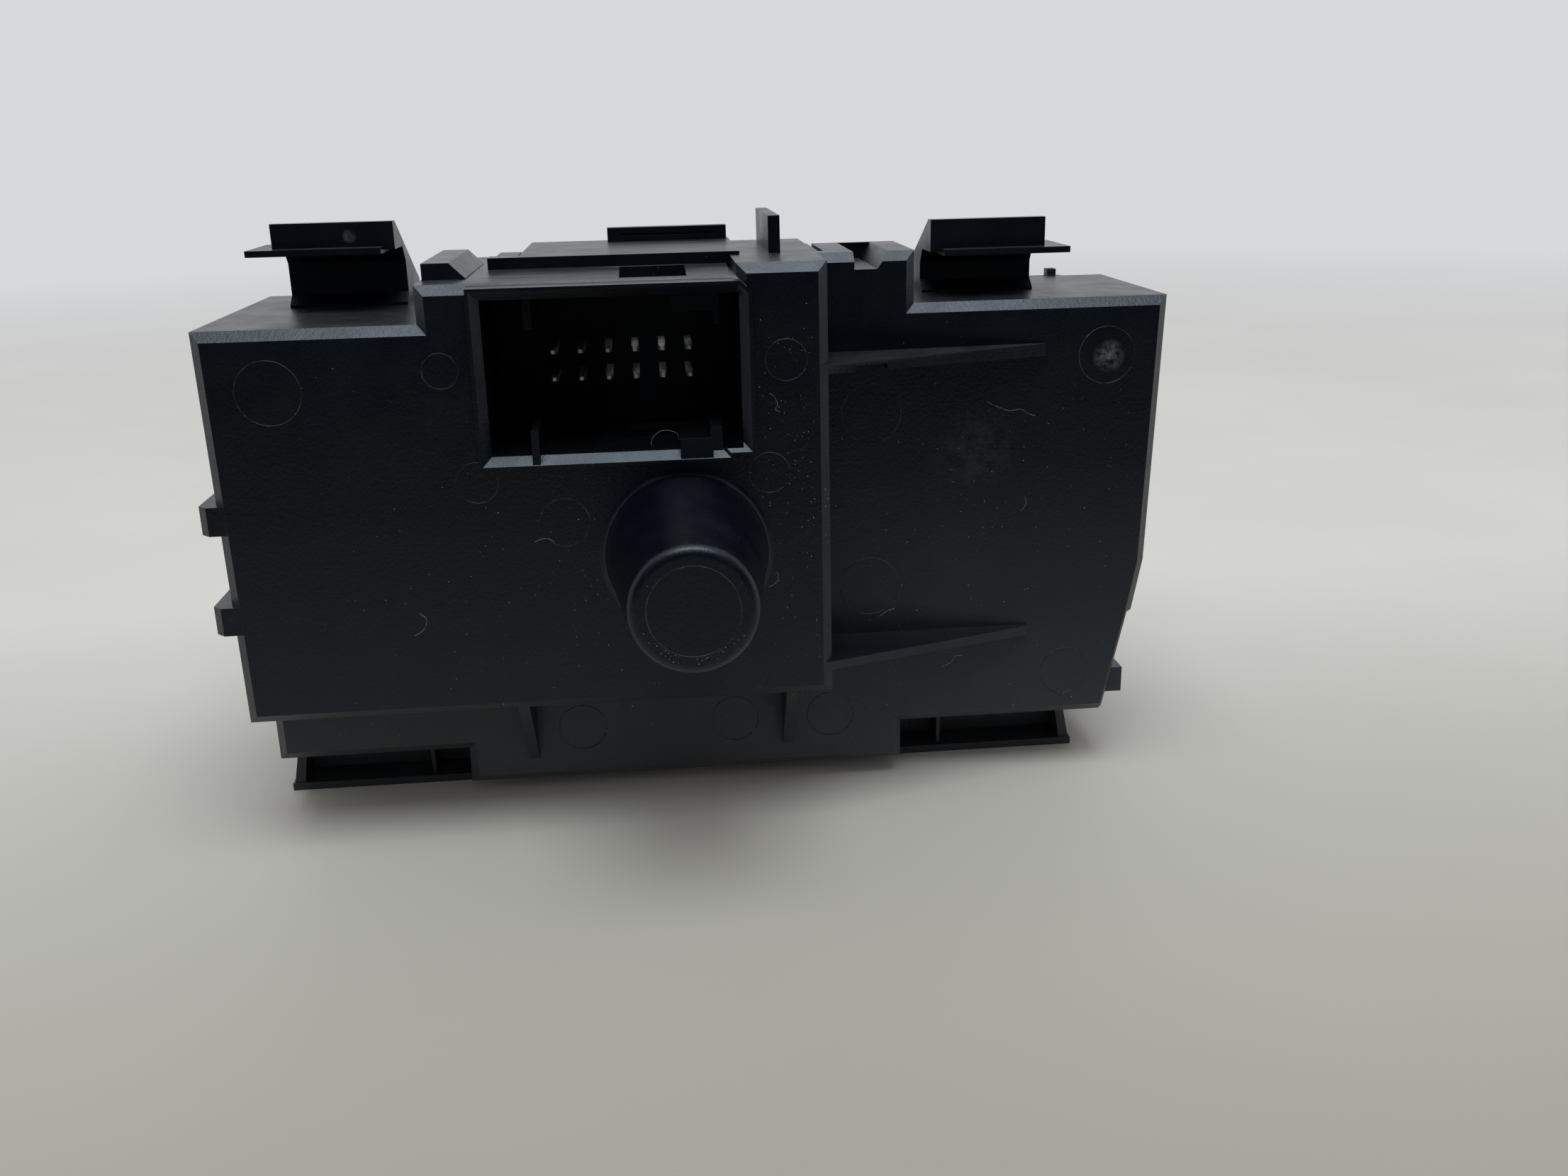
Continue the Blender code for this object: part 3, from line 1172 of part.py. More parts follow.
def make_frame(material):
    """The front frame: plate, spigot in the housing mouth, bearing, hub and wheel arms"""
    outline = rectangle(FRAME_LEFT, FRAME_FOOT, FRAME_RIGHT, FRAME_TOP, FRAME_CORNER)
    frame = flat_solid("front_frame", outline, FRAME_REAR, FRAME_FRONT, tool=False)
    low = (RAISED_LEFT + FRAME_INSET, FRAME_REAR, FRAME_TOP - FRAME_CORNER)
    high = (RAISED_RIGHT - FRAME_INSET, FRAME_FRONT, RAISED_TOP - FRAME_INSET)
    join(frame, box_solid("frame_crown", low, high))
    mouth = inset(shallow_outline(), WALL + GAP)
    spigot = flat_solid("spigot", mouth, FRAME_REAR - SPIGOT_LENGTH, FRAME_REAR + OVERLAP)
    bore = flat_solid(
        "spigot_bore", inset(mouth, SPIGOT_WALL), FRAME_REAR - SPIGOT_LENGTH - GAP, FRAME_REAR)
    join(frame, spigot)
    cut(frame, bore)
    centre = (STUB_X, STUB_Z)
    bearing_rear = ROTOR_FRONT + GAP
    join(frame, rod_solid("bearing", centre, BEARING_RADIUS, bearing_rear, FRAME_FRONT, steps=ROUND_STEPS))
    join(frame, rod_solid("hub", centre, HUB_RADIUS, FRAME_FRONT - OVERLAP, FASCIA_FRONT, steps=FINE_STEPS))
    for side, face in ((-1.0, ARM_INNER_LEFT), (1.0, ARM_INNER_RIGHT)):
        left = min(face, face + side * ARM_THICKNESS)
        low = (left, ARM_REAR, WHEEL_Z - ARM_HALF_HEIGHT)
        high = (left + ARM_THICKNESS, FRAME_REAR + OVERLAP, WHEEL_Z + ARM_HALF_HEIGHT)
        join(frame, box_solid("arm_%s" % ("left" if side < 0 else "right"), low, high))
    for index, place in enumerate(spring_posts()):
        rear = ROTOR_FRONT - SPRING_DEPTH - GAP
        name = "spring_post_%d" % (index + 1)
        join(frame, rod_solid(name, place, SPRING_POST_RADIUS, rear, FRAME_REAR + OVERLAP))
    low = (PEG_X - PEG_WIDTH / 2, FRAME_REAR + OVERLAP / 2, FRAME_TOP - OVERLAP)
    high = (PEG_X + PEG_WIDTH / 2, FRAME_FRONT - OVERLAP / 2, FRAME_TOP + PEG_HEIGHT)
    join(frame, box_solid("peg", low, high))
    bore_front = FASCIA_FRONT + GAP
    cut(frame, rod_solid("bearing_bore", centre, BORE_RADIUS, ROTOR_FRONT, bore_front, steps=ROUND_STEPS))
    for name, up in button_places():
        reach = BUTTON_WIDTH / 2 + GAP
        rise = BUTTON_HEIGHT / 2 + GAP
        low = (BUTTON_X - reach, FRAME_REAR - GAP, up - rise)
        high = (BUTTON_X + reach, FRAME_FRONT + GAP, up + rise)
        cut(frame, box_solid("frame_window_" + name, low, high))
    reach = WHEEL_WIDTH / 2 + GAP
    rise = wheel_slot_half(FRAME_REAR)
    low = (WHEEL_X - reach, FRAME_REAR - GAP, WHEEL_Z - rise)
    high = (WHEEL_X + reach, FRAME_FRONT + GAP, WHEEL_Z + rise)
    cut(frame, box_solid("frame_wheel_slot", low, high))
    start = ARM_INNER_LEFT - ARM_THICKNESS * 2
    end = ARM_INNER_RIGHT + ARM_THICKNESS + GAP
    cut(frame, rod_solid("axle_holes", (WHEEL_Y, WHEEL_Z), AXLE_RADIUS + GAP, start, end, along="X"))
    for index, (lamp, across, up) in enumerate(led_places()[2:]):
        leg = GUIDE_LEG_RADIUS + GAP
        name = "leg_hole_%d" % (index + 1)
        cut(frame, rod_solid(name, (across, up), leg, FRAME_REAR - GAP, FRAME_FRONT + GAP))
    finish(frame, material)


def make_fascia(material):
    """The visible front cover with its openings"""
    outline = rectangle(FRAME_LEFT, FRAME_FOOT, FRAME_RIGHT, FRAME_TOP, FRAME_CORNER)
    fascia = flat_solid("front_fascia", outline, FASCIA_REAR, FASCIA_FRONT, far=FASCIA_EDGE, tool=False)
    centre = (STUB_X, STUB_Z)
    rear = FASCIA_REAR - GAP
    front = FASCIA_FRONT + GAP
    cut(fascia, rod_solid("fascia_bore", centre, RING_OUTER + GAP, rear, front, steps=FINE_STEPS))
    for name, up in button_places():
        reach = BUTTON_WIDTH / 2 + GAP
        rise = BUTTON_HEIGHT / 2 + GAP
        low = (BUTTON_X - reach, rear, up - rise)
        high = (BUTTON_X + reach, front, up + rise)
        cut(fascia, box_solid("fascia_window_" + name, low, high))
    reach = WHEEL_WIDTH / 2 + GAP
    rise = wheel_slot_half(FASCIA_REAR)
    low = (WHEEL_X - reach, rear, WHEEL_Z - rise)
    high = (WHEEL_X + reach, front, WHEEL_Z + rise)
    cut(fascia, box_solid("fascia_wheel_slot", low, high))
    finish(fascia, material)


def make_light_guide(material):
    """A clear ring round the knob on two legs that reach the lamp chips"""
    rear = FASCIA_FRONT - RING_DEPTH
    profile = [
        (RING_OUTER, FASCIA_FRONT),
        (RING_OUTER, rear),
        (RING_INNER, rear),
        (RING_INNER, FASCIA_FRONT),
    ]
    ring = turned_solid("light_guide", profile, (STUB_X, STUB_Z), closed=True, steps=FINE_STEPS, tool=False)
    start = BOARD_FRONT + GAP + LED_HEIGHT + GAP
    for index, (name, across, up) in enumerate(led_places()[2:]):
        reach = GUIDE_LEG_RADIUS
        join(ring, rod_solid("guide_leg_%d" % (index + 1), (across, up), reach, start, rear + OVERLAP))
    finish(ring, material)


def make_spring(material):
    """The detent leaf spring, a bent strip whose crest faces the rotor's lobes"""
    level = STUB_Z + ROTOR_RADIUS + GAP
    reach = SPRING_HALF_SPAN + SPRING_POST_RADIUS
    lift = SPRING_RISE - SPRING_POST_RADIUS - GAP - SPRING_THICKNESS
    thick = SPRING_THICKNESS
    points = [
        (STUB_X - reach, level + lift),
        (STUB_X - reach / 2, level + lift),
        (STUB_X, level),
        (STUB_X + reach / 2, level + lift),
        (STUB_X + reach, level + lift),
        (STUB_X + reach, level + lift + thick),
        (STUB_X + reach / 2, level + lift + thick),
        (STUB_X, level + thick * 1.2),
        (STUB_X - reach / 2, level + lift + thick),
        (STUB_X - reach, level + lift + thick),
    ]
    spring = flat_solid("detent_spring", points, ROTOR_FRONT - SPRING_DEPTH, ROTOR_FRONT - GAP, tool=False)
    finish(spring, material)


def make_buttons(material):
    """Two push buttons with a rear flange, a stem and a recess for a lens"""
    for name, up in button_places():
        flange_front = FRAME_REAR - GAP
        flange_rear = flange_front - BUTTON_FLANGE_THICKNESS
        outline = rectangle(
            BUTTON_X - BUTTON_WIDTH / 2, up - BUTTON_HEIGHT / 2,
            BUTTON_X + BUTTON_WIDTH / 2, up + BUTTON_HEIGHT / 2)
        start = flange_front - OVERLAP
        button = flat_solid(name, outline, start, BUTTON_FRONT, far=BUTTON_EDGE, tool=False)
        reach = BUTTON_WIDTH / 2 + GAP + BUTTON_FLANGE
        rise = BUTTON_HEIGHT / 2 + BUTTON_FLANGE
        low = (BUTTON_X - reach, flange_rear, up - rise)
        high = (BUTTON_X + reach, flange_front, up + rise)
        join(button, box_solid(name + "_flange", low, high))
        stem = BOARD_FRONT + GAP + MAT_THICKNESS + MAT_DOME_HEIGHT + PRESS_TRAVEL + GAP
        join(button, rod_solid(
            name + "_stem", (BUTTON_X, up), BUTTON_STEM_RADIUS, stem, flange_rear + OVERLAP))
        lens = up + LENS_DROP
        left = BUTTON_X - LENS_WIDTH / 2 - GAP
        low = (left, BUTTON_FRONT - LENS_DEPTH - GAP, lens - LENS_HEIGHT / 2 - GAP)
        high = (BUTTON_X + LENS_WIDTH / 2 + GAP, BUTTON_FRONT + GAP, lens + LENS_HEIGHT / 2 + GAP)
        cut(button, box_solid(name + "_recess", low, high))
        finish(button, material, (BUTTON_X, FRAME_REAR, up))


def make_lenses(material):
    """A small clear lens in each button"""
    for name, up in (("front_fog_lens", BUTTON_UPPER_Z), ("rear_fog_lens", BUTTON_LOWER_Z)):
        lens = up + LENS_DROP
        low = (BUTTON_X - LENS_WIDTH / 2, BUTTON_FRONT - LENS_DEPTH, lens - LENS_HEIGHT / 2)
        high = (BUTTON_X + LENS_WIDTH / 2, BUTTON_FRONT, lens + LENS_HEIGHT / 2)
        finish(box_solid(name, low, high, tool=False), material, (BUTTON_X, FRAME_REAR, up))


def make_wheel(material):
    """The thumbwheel with fine grip teeth"""
    outline = toothed_outline(WHEEL_RADIUS, WHEEL_TOOTH, WHEEL_TEETH, WHEEL_Y, WHEEL_Z)
    start = WHEEL_X - WHEEL_WIDTH / 2
    end = WHEEL_X + WHEEL_WIDTH / 2
    wheel = flat_solid("dimmer_wheel", outline, start, end, FLAT_ALONG_X, tool=False)
    cut(wheel, rod_solid(
        "wheel_bore", (WHEEL_Y, WHEEL_Z), AXLE_RADIUS + RUNNING_GAP, start - GAP, end + GAP, along="X"))
    finish(wheel, material, (WHEEL_X, WHEEL_Y, WHEEL_Z))


def make_dimmer(material):
    """The dimmer control beside the wheel, with a hole for the axle's end"""
    left = ARM_INNER_RIGHT + ARM_THICKNESS + GAP
    hole_end = left + AXLE_IN_DIMMER + GAP
    low = (left, DIMMER_REAR, WHEEL_Z - DIMMER_HALF_HEIGHT)
    high = (left + DIMMER_WIDTH, DIMMER_REAR + DIMMER_LENGTH, WHEEL_Z + DIMMER_HALF_HEIGHT)
    dimmer = box_solid("dimmer_control", low, high, tool=False)
    cut(dimmer, rod_solid(
        "dimmer_bore", (WHEEL_Y, WHEEL_Z), AXLE_RADIUS + GAP, left - GAP, hole_end, along="X"))
    finish(dimmer, material)


def make_axle(material):
    """The steel axle of the thumbwheel"""
    start = ARM_INNER_LEFT - ARM_THICKNESS
    end = ARM_INNER_RIGHT + ARM_THICKNESS + GAP + AXLE_IN_DIMMER
    axle = rod_solid("dimmer_axle", (WHEEL_Y, WHEEL_Z), AXLE_RADIUS, start, end, along="X", tool=False)
    finish(axle, material)


def build():
    """Make every piece of the switch"""
    black = make_material("black_grained_plastic", (0.012, 0.013, 0.015), 0.5)
    fascia = make_material("satin_black_plastic", (0.018, 0.018, 0.020), 0.4)
    knob = make_material("soft_black_plastic", (0.020, 0.020, 0.022), 0.55)
    tin = make_material("tinned_contact_metal", (0.78, 0.77, 0.74), 0.3, 1.0)
    steel = make_material("zinc_plated_steel", (0.62, 0.63, 0.65), 0.35, 1.0)
    spring = make_material("spring_steel", (0.50, 0.51, 0.53), 0.3, 1.0)
    brass = make_material("contact_brass", (0.80, 0.60, 0.28), 0.3, 1.0)
    board = make_material("green_circuit_board", (0.02, 0.16, 0.07), 0.45)
    rubber = make_material("grey_silicone_rubber", (0.35, 0.36, 0.38), 0.7)
    white = make_material("white_plastic", (0.82, 0.82, 0.80), 0.4)
    clear = make_material("clear_plastic", (0.85, 0.87, 0.88), 0.1)
    chrome = make_material("bright_trim", (0.85, 0.85, 0.86), 0.12, 1.0)
    inner = make_material("natural_nylon", (0.70, 0.68, 0.60), 0.5)
    grey = make_material("grey_phenolic", (0.16, 0.13, 0.11), 0.5)
    pivot = (STUB_X, FASCIA_FRONT, STUB_Z)
    make_housing(black)
    make_pins(tin)
    make_board(board)
    make_screws(steel)
    make_leds(white)
    make_mat(rubber)
    make_shaft(inner, pivot)
    make_rotor(inner, pivot)
    make_wiper(brass, pivot)
    make_knob(knob, pivot)
    make_knob_trim(chrome, pivot)
    make_pointer(white, pivot)
    make_frame(black)
    make_fascia(fascia)
    make_light_guide(clear)
    make_spring(spring)
    make_buttons(knob)
    make_lenses(clear)
    make_wheel(knob)
    make_dimmer(grey)
    make_axle(steel)


build()
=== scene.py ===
"""Looks of the headlight switch: finishes, moulding marks, pin seats, dust, light and camera.

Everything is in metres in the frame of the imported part: X to the right seen from the
socket side, Y from the socket side to the knob side, Z up.
"""

import json
import math
import random

import bmesh
import bpy
from mathutils import Matrix, Vector


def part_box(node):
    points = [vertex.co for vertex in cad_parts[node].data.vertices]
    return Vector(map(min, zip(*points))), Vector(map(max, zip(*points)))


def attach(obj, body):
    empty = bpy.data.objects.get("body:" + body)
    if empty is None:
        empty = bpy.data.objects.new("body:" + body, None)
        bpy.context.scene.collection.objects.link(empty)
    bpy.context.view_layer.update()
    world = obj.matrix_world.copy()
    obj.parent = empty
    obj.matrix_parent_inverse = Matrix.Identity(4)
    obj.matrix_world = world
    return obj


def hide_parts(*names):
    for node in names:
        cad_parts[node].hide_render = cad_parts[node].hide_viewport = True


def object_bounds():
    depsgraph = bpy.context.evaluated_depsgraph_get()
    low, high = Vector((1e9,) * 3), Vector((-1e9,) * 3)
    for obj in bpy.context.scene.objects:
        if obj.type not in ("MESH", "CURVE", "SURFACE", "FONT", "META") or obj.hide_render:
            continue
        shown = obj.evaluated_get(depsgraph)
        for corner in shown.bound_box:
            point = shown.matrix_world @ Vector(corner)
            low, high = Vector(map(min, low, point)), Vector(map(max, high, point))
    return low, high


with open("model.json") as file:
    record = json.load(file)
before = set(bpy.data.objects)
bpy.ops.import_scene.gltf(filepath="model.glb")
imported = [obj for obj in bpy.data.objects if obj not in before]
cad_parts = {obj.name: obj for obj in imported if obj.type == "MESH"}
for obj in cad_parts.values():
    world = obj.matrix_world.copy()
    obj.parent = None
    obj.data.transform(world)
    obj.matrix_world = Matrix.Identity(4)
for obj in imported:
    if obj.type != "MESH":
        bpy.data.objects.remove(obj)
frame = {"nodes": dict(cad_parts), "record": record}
cad_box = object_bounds()
NODES = frame["nodes"]
MM = 0.001
SEED = 41
SQUARE = ((-1.0, -1.0), (1.0, -1.0), (1.0, 1.0), (-1.0, 1.0))

# The part's own places, read from its nodes
HOUSING_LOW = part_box("rear_housing")[0]
SHAFT_LOW, SHAFT_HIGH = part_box("knob_shaft")
FASCIA_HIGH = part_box("front_fascia")[1]
RING_LOW, RING_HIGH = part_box("light_guide")
WHEEL_LOW, WHEEL_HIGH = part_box("dimmer_wheel")
AXIS_X = (SHAFT_LOW.x + SHAFT_HIGH.x) / 2
AXIS_Z = (SHAFT_LOW.z + SHAFT_HIGH.z) / 2
STUB_END_Y = HOUSING_LOW.y
STUB_LENGTH = 17.4 * MM
STUB_END_RADIUS = 5.65 * MM
DEEP_FACE_Y = STUB_END_Y + STUB_LENGTH
SHALLOW_STEP = 8.0 * MM
SHALLOW_FACE_Y = DEEP_FACE_Y + SHALLOW_STEP

# Camera
CAMERA_PLACE = Vector((-4.595, -144.655, 65.777)) * MM
CAMERA_YAW = math.radians(5.121)
CAMERA_PITCH = math.radians(17.855)
CAMERA_ROLL = math.radians(-1.326)
CAMERA_LENS = 32.55
CAMERA_SENSOR = 36.0
CAMERA_NEAR = 0.01

# Room, lamp and the dark card that reflections see
SKY = (0.68, 0.69, 0.71)
CARD_TONE = (0.010, 0.016, 0.030)
CARD_PLACE = (0.0, -0.165, 0.17)
CARD_HALF_WIDTH = 0.45
CARD_HALF_HEIGHT = 0.19
TOP_PLACE = (0.02, -0.24, 0.85)
TOP_SIZE = 0.56
TOP_POWER = 5.8
TOP_COLOUR = (0.90, 0.95, 1.0)

# Floor; its colour darkens towards the camera as painted shade
FLOOR_NEAR_PAINTED_SHADE = (0.268, 0.252, 0.208)
FLOOR_FAR = (0.56, 0.54, 0.50)
FLOOR_NEAR_Y = -0.09
FLOOR_FAR_Y = 0.06
FLOOR_HALF = 4.0
FLOOR_ROUGHNESS = 0.60
FLOOR_SPOT_SHARE = 0.8
FADE_START = 0.22
FADE_END = 0.70

# Black plastics
HOUSING_BLACK = (0.0005, 0.0012, 0.0036)
FASCIA_BLACK = (0.0085, 0.0088, 0.0095)
KNOB_BLACK = (0.0100, 0.0102, 0.0108)
# painted shade: a darker black for the inside of the plug socket
SOCKET_PAINTED_SHADE = (0.0005, 0.0008, 0.0020)
HOUSING_ROUGHNESS = 0.33
FRAME_ROUGHNESS = 0.45
FASCIA_ROUGHNESS = 0.38
KNOB_ROUGHNESS = 0.55
SOCKET_ROUGHNESS = 0.55
PLASTIC_SHINE = 0.5
# painted shade: less shine inside the plug socket
SOCKET_SHADE_SHINE = 0.16
PLASTIC_IOR = 1.48
# a painted cool tint on the reflections of the black plastics, standing in for bluish light
PAINTED_COOL_REFLECTION = (0.78, 0.90, 1.0)
# pale grey for dust, and for the painted reflection of the floor
DUST_AND_REFLECTION_COLOUR = (0.36, 0.36, 0.36)
SCUFF_COLOUR = (0.060, 0.060, 0.062)
PALE_SCUFF = (0.22, 0.21, 0.19)
MOTTLE_DARK = 0.80
MOTTLE_LIGHT = 1.20
GRAIN = 2800.0
GRAIN_DEPTH = 0.034 * MM
FASCIA_GRAIN = 3500.0
FASCIA_GRAIN_DEPTH = 0.022 * MM
KNOB_GRAIN = 7000.0
GRAIN_DETAIL = 4.0
GRAIN_EDGE = 0.65
WAVINESS = (90.0, 2.0)
WAVINESS_DEPTH = 0.05 * MM
WAVINESS_SHARE = 0.20

# Other finishes: colour and roughness
TIN = ((0.78, 0.76, 0.71), 0.36)
STEEL = ((0.62, 0.63, 0.65), 0.35)
SPRING_STEEL = ((0.50, 0.51, 0.53), 0.30)
BRASS = ((0.80, 0.60, 0.28), 0.30)
BRIGHT_PLATING = ((0.85, 0.85, 0.86), 0.14)
SILICONE = ((0.35, 0.36, 0.38), 0.70)
WHITE = ((0.82, 0.82, 0.80), 0.40)
NYLON = ((0.70, 0.68, 0.60), 0.50)
PHENOLIC = ((0.16, 0.13, 0.11), 0.50)
MILKY_CLEAR = ((0.85, 0.87, 0.88), 0.22)
TARNISH = (0.35, 0.33, 0.30)
BOARD_DARK = (0.012, 0.105, 0.045)
BOARD_LIGHT = (0.020, 0.150, 0.065)
BOARD_ROUGHNESS = 0.32
LINT_DARK = (0.24, 0.24, 0.25)
LINT_LIGHT = (0.54, 0.53, 0.50)
LINT_ROUGHNESS = 0.8
# painted highlight: pale grey lengths on the ejector rings
RING_PAINTED_HIGHLIGHT = (0.026, 0.026, 0.027)
RING_BROWN = (0.085, 0.062, 0.045)
RING_ROUGHNESS = 0.45
CLOUD_SHARE = 0.92
PALE_SHARE = 0.9
CLEAR_PASSES = 0.55
CLEAR_IOR = 1.49
METAL_DEPTH = 0.006 * MM
PALE_DEPTH = 0.008 * MM
SMOOTH_DEPTH = 0.01 * MM

# Which way fine scratches run on metal
EVERY_WAY = (1.0, 1.0, 1.0)
ALONG_X = (0.1, 1.0, 1.0)
ALONG_Y = (1.0, 0.1, 1.0)

# Patterns: noise as scale, detail, roughness and stretch, then its range and what that becomes
MOTTLE = ((55.0, 4.0), (0.35, 0.65))
SCUFFS = ((130.0, 5.0, 0.65, (1.0, 1.0, 0.25)), (0.62, 0.82, 0.0, 0.08))
FILM = ((160.0, 6.0, 0.7), (0.35, 0.75, 0.020, 0.085))
STREAKS = ((900.0, 4.0, 0.6, (0.05, 1.6, 1.0)), (0.60, 0.74, 0.0, 0.30))
SPECK_PATCHES = ((90.0, 4.0, 0.6), (0.52, 0.72, 0.0, 0.8))
HAZE = ((34.0, 6.0, 0.7), (0.52, 0.80, 0.0, 0.012))
RUBBING = ((900.0, 6.0, 0.7), (0.42, 0.60))
TARNISH_SPOTS = ((700.0, 4.0, 0.6), (0.55, 0.80, 0.0, 0.5))
RING_BREAKS = ((420.0, 4.0, 0.7), (0.44, 0.60))
RING_SPOTS = ((1900.0, 3.0, 0.6), (0.58, 0.68, 0.0, 0.8))
CLOUD = ((400.0, 3.0), (0.3, 0.7))
PALE_TONE = ((180.0, 4.0), (0.3, 0.7))
LINT_TONE = ((1500.0, 2.0), (0.35, 0.65))
FLOOR_MOTTLE = ((18.0, 6.0), (0.3, 0.7, 0.0, 0.10))

# Uneven roughness: the noise, its range, and how far it goes below and above
PLASTIC_UNEVEN = (240.0, 3.0)
CLEAR_UNEVEN = (900.0, 2.0)
PALE_UNEVEN = (3500.0, 2.0)
METAL_UNEVEN = (2500.0, 3.0, 0.6)
UNEVEN_RANGE = (0.3, 0.7)
PLASTIC_SPREAD = (0.05, 0.06)
METAL_SPREAD = (0.07, 0.10)
PALE_SPREAD = (0.05, 0.05)

# Weave under the circuit board's resist
WEAVE_SCALE = 300.0
WEAVE_DISTORTION = 1.5
WEAVE_RANGE = (0.0, 1.0, 0.2, 0.8)

# Wear on the housing, and a painted reflection of the floor that lightens the lower rear faces;
# heights are in millimetres
UPWARD_RANGE = (0.90, 0.98)
SPECK_SCALE = 1250.0
SPECK_RANGE = (0.050, 0.030)
# Painted reflection of the floor: the rear faces grow lighter between these heights, top to
# foot, by these shares on the deep and the shallow face
PAINTED_REFLECTION_TOP = 34.0
PAINTED_REFLECTION_FOOT = 6.0
PAINTED_REFLECTION_DEEP = 0.010
PAINTED_REFLECTION_SHALLOW = 0.040
FILM_EDGE_FOOT = 43.0
FILM_EDGE_TOP = 45.0
FILM_BELOW_SHARE = 0.15
STREAK_FOOT = 50.0
STREAK_TOP = 52.0
RUBBED_CORE = 0.35

# Rubbed places: X, Z, reach and step beyond the deep face in millimetres, and strength
RUBBED = (
    (40.3, 44.0, 1.7, 8.0, 0.38), (27.0, 35.0, 5.0, 8.0, 0.035),
    (-32.5, 57.2, 0.7, 13.0, 0.35),
)

# Ejector marks on the rear: X and Z of the centre and radius, in millimetres
DEEP_MARKS = (
    (-38.5, 44.7, 2.9), (-23.4, 46.1, 1.6), (-21.0, 35.8, 1.9),
    (-13.3, 31.7, 2.3), (7.6, 46.0, 1.9), (5.8, 35.6, 1.9),
)
SHALLOW_MARKS = (
    (16.6, 39.2, 2.95), (16.4, 21.4, 3.0), (40.1, 44.1, 2.8), (37.0, 11.0, 2.5),
    (12.2, 7.6, 2.4), (-13.5, 7.7, 2.4), (2.2, 7.7, 2.4),
)
MARK_WIDTH = 0.17 * MM
MARK_HEIGHT = 0.06 * MM
STUB_MARK_SHARE = 0.70
RING_STEPS = 64

# Lint: face, points as X and Z in millimetres
HAIRS = (
    ("shallow", (
        (28.2, 39.9), (29.4, 39.3), (30.5, 38.95), (31.6, 39.05), (32.3, 38.6), (33.1, 38.3))),
    ("shallow", ((17.4, 18.1), (18.1, 18.6), (19.0, 18.9))),
    ("shallow", ((31.9, 28.6), (32.4, 29.3), (32.3, 30.1))),
    ("shallow", ((24.0, 12.2), (24.9, 12.6), (25.4, 13.3), (26.2, 13.3))),
    ("deep", ((6.0, 43.0), (6.4, 42.7), (6.7, 42.0), (6.5, 41.5), (6.9, 41.3))),
    ("deep", ((-28.0, 21.4), (-27.1, 22.0), (-26.8, 23.0), (-27.4, 23.6))),
    ("deep", ((5.4, 24.4), (6.2, 24.9), (6.4, 25.8))),
    ("deep", ((-16.2, 30.0), (-15.2, 30.3), (-14.4, 29.9))),
    ("socket", (
        (-2.4, 38.65), (-2.66, 39.33), (-3.83, 39.6), (-4.74, 39.06), (-4.93, 38.24),
        (-3.83, 37.97), (-2.4, 37.83))),
)
SOCKET_HAIR_STEP = 2.0 * MM
HAIR_RADIUS = 0.008 * MM
HAIR_LIFT = 0.03 * MM
HAIR_SIDES = 5
HAIR_STEPS = 6

# Dust flakes: face, middle and half spread in X and Z in millimetres, how many
DUST_FIELDS = (
    ("deep", (-14.0, 26.0), (25.0, 12.0), 130),
    ("deep", (7.6, 38.0), (3.6, 13.0), 110),
    ("deep", (-1.5, 24.0), (11.5, 11.0), 150),
    ("shallow", (27.0, 30.0), (14.0, 16.0), 130),
    ("shallow", (0.0, 8.0), (38.0, 3.2), 50),
)
DUST_CROWDING = 0.55
FLAKE_SIZE = (0.018 * MM, 0.046 * MM)
FLAKE_CORNERS = (4, 5)
FLAKE_STRETCH = (0.45, 1.0)
FLAKE_UNEVEN = (0.7, 1.1)
FLAKE_LIFT = 0.010 * MM

# Flakes on the stub's rim: how many, their angle in degrees and how far inside, in millimetres
RIM_FLAKES = 44
RIM_ANGLE = (-95.0, 38.0)
RIM_INSET = (0.95, 1.6)

# Where no flake may lie: about the stub's axis, and over the plug socket's opening
KEEP_OFF_STUB = 8.6 * MM
OPENING_MIDDLE = -8.0 * MM
OPENING_HALF = 13.0 * MM
OPENING_FOOT = 36.5 * MM

# Inside of the plug socket, which takes a darker, less shiny black as painted shade: X and Z in
# millimetres, then steps from the deep face
SOCKET_SPAN_X = (-20.2, 4.4)
SOCKET_SPAN_Z = (37.0, 52.6)
SOCKET_DARK_STEP = 0.1 * MM
SOCKET_END_STEP = 12.0 * MM
SOCKET_END_SPARE = 1.0 * MM

# Moulded collars at the roots of the pins
SEAT_INNER = 0.33 * MM
SEAT_OUTER = 0.74 * MM
SEAT_LENGTH = 0.55 * MM
SEAT_PROUD = 0.06 * MM

# Rounded edges
HOUSING_EDGE = 0.09 * MM
FRONT_EDGE = 0.18 * MM
EDGE_SEGMENTS = 2
WELD_DISTANCE = 0.002 * MM
FLAT_ANGLE = math.radians(1.0)
SHARP_ANGLE = math.radians(28.0)
FACE_WEIGHT = 100

# Printed marks on the front
TICK_REACH = 1.6 * MM
TICK_LENGTH = 2.2 * MM
TICK_WIDTH = 0.55 * MM
TICK_HEIGHT = 0.05 * MM
TICK_ANGLES = (60.0, 30.0, 0.0)
ZERO_RADIUS = 1.1 * MM
WHEEL_BARS = 4
WHEEL_BAR_STEP = 2.6 * MM
WHEEL_BAR_LENGTH = 1.2 * MM
WHEEL_BAR_GAP = 1.4 * MM
WHEEL_BAR_SHORTEST = 0.6
WHEEL_BAR_GROWTH = 0.3


def new_material(name):
    """An empty node material: its tree, its shader and its object coordinates"""
    material = bpy.data.materials.new(name)
    material.use_nodes = True
    tree = material.node_tree
    shader = tree.nodes["Principled BSDF"]
    place = tree.nodes.new("ShaderNodeTexCoord")
    return material, tree, shader, place.outputs["Object"]


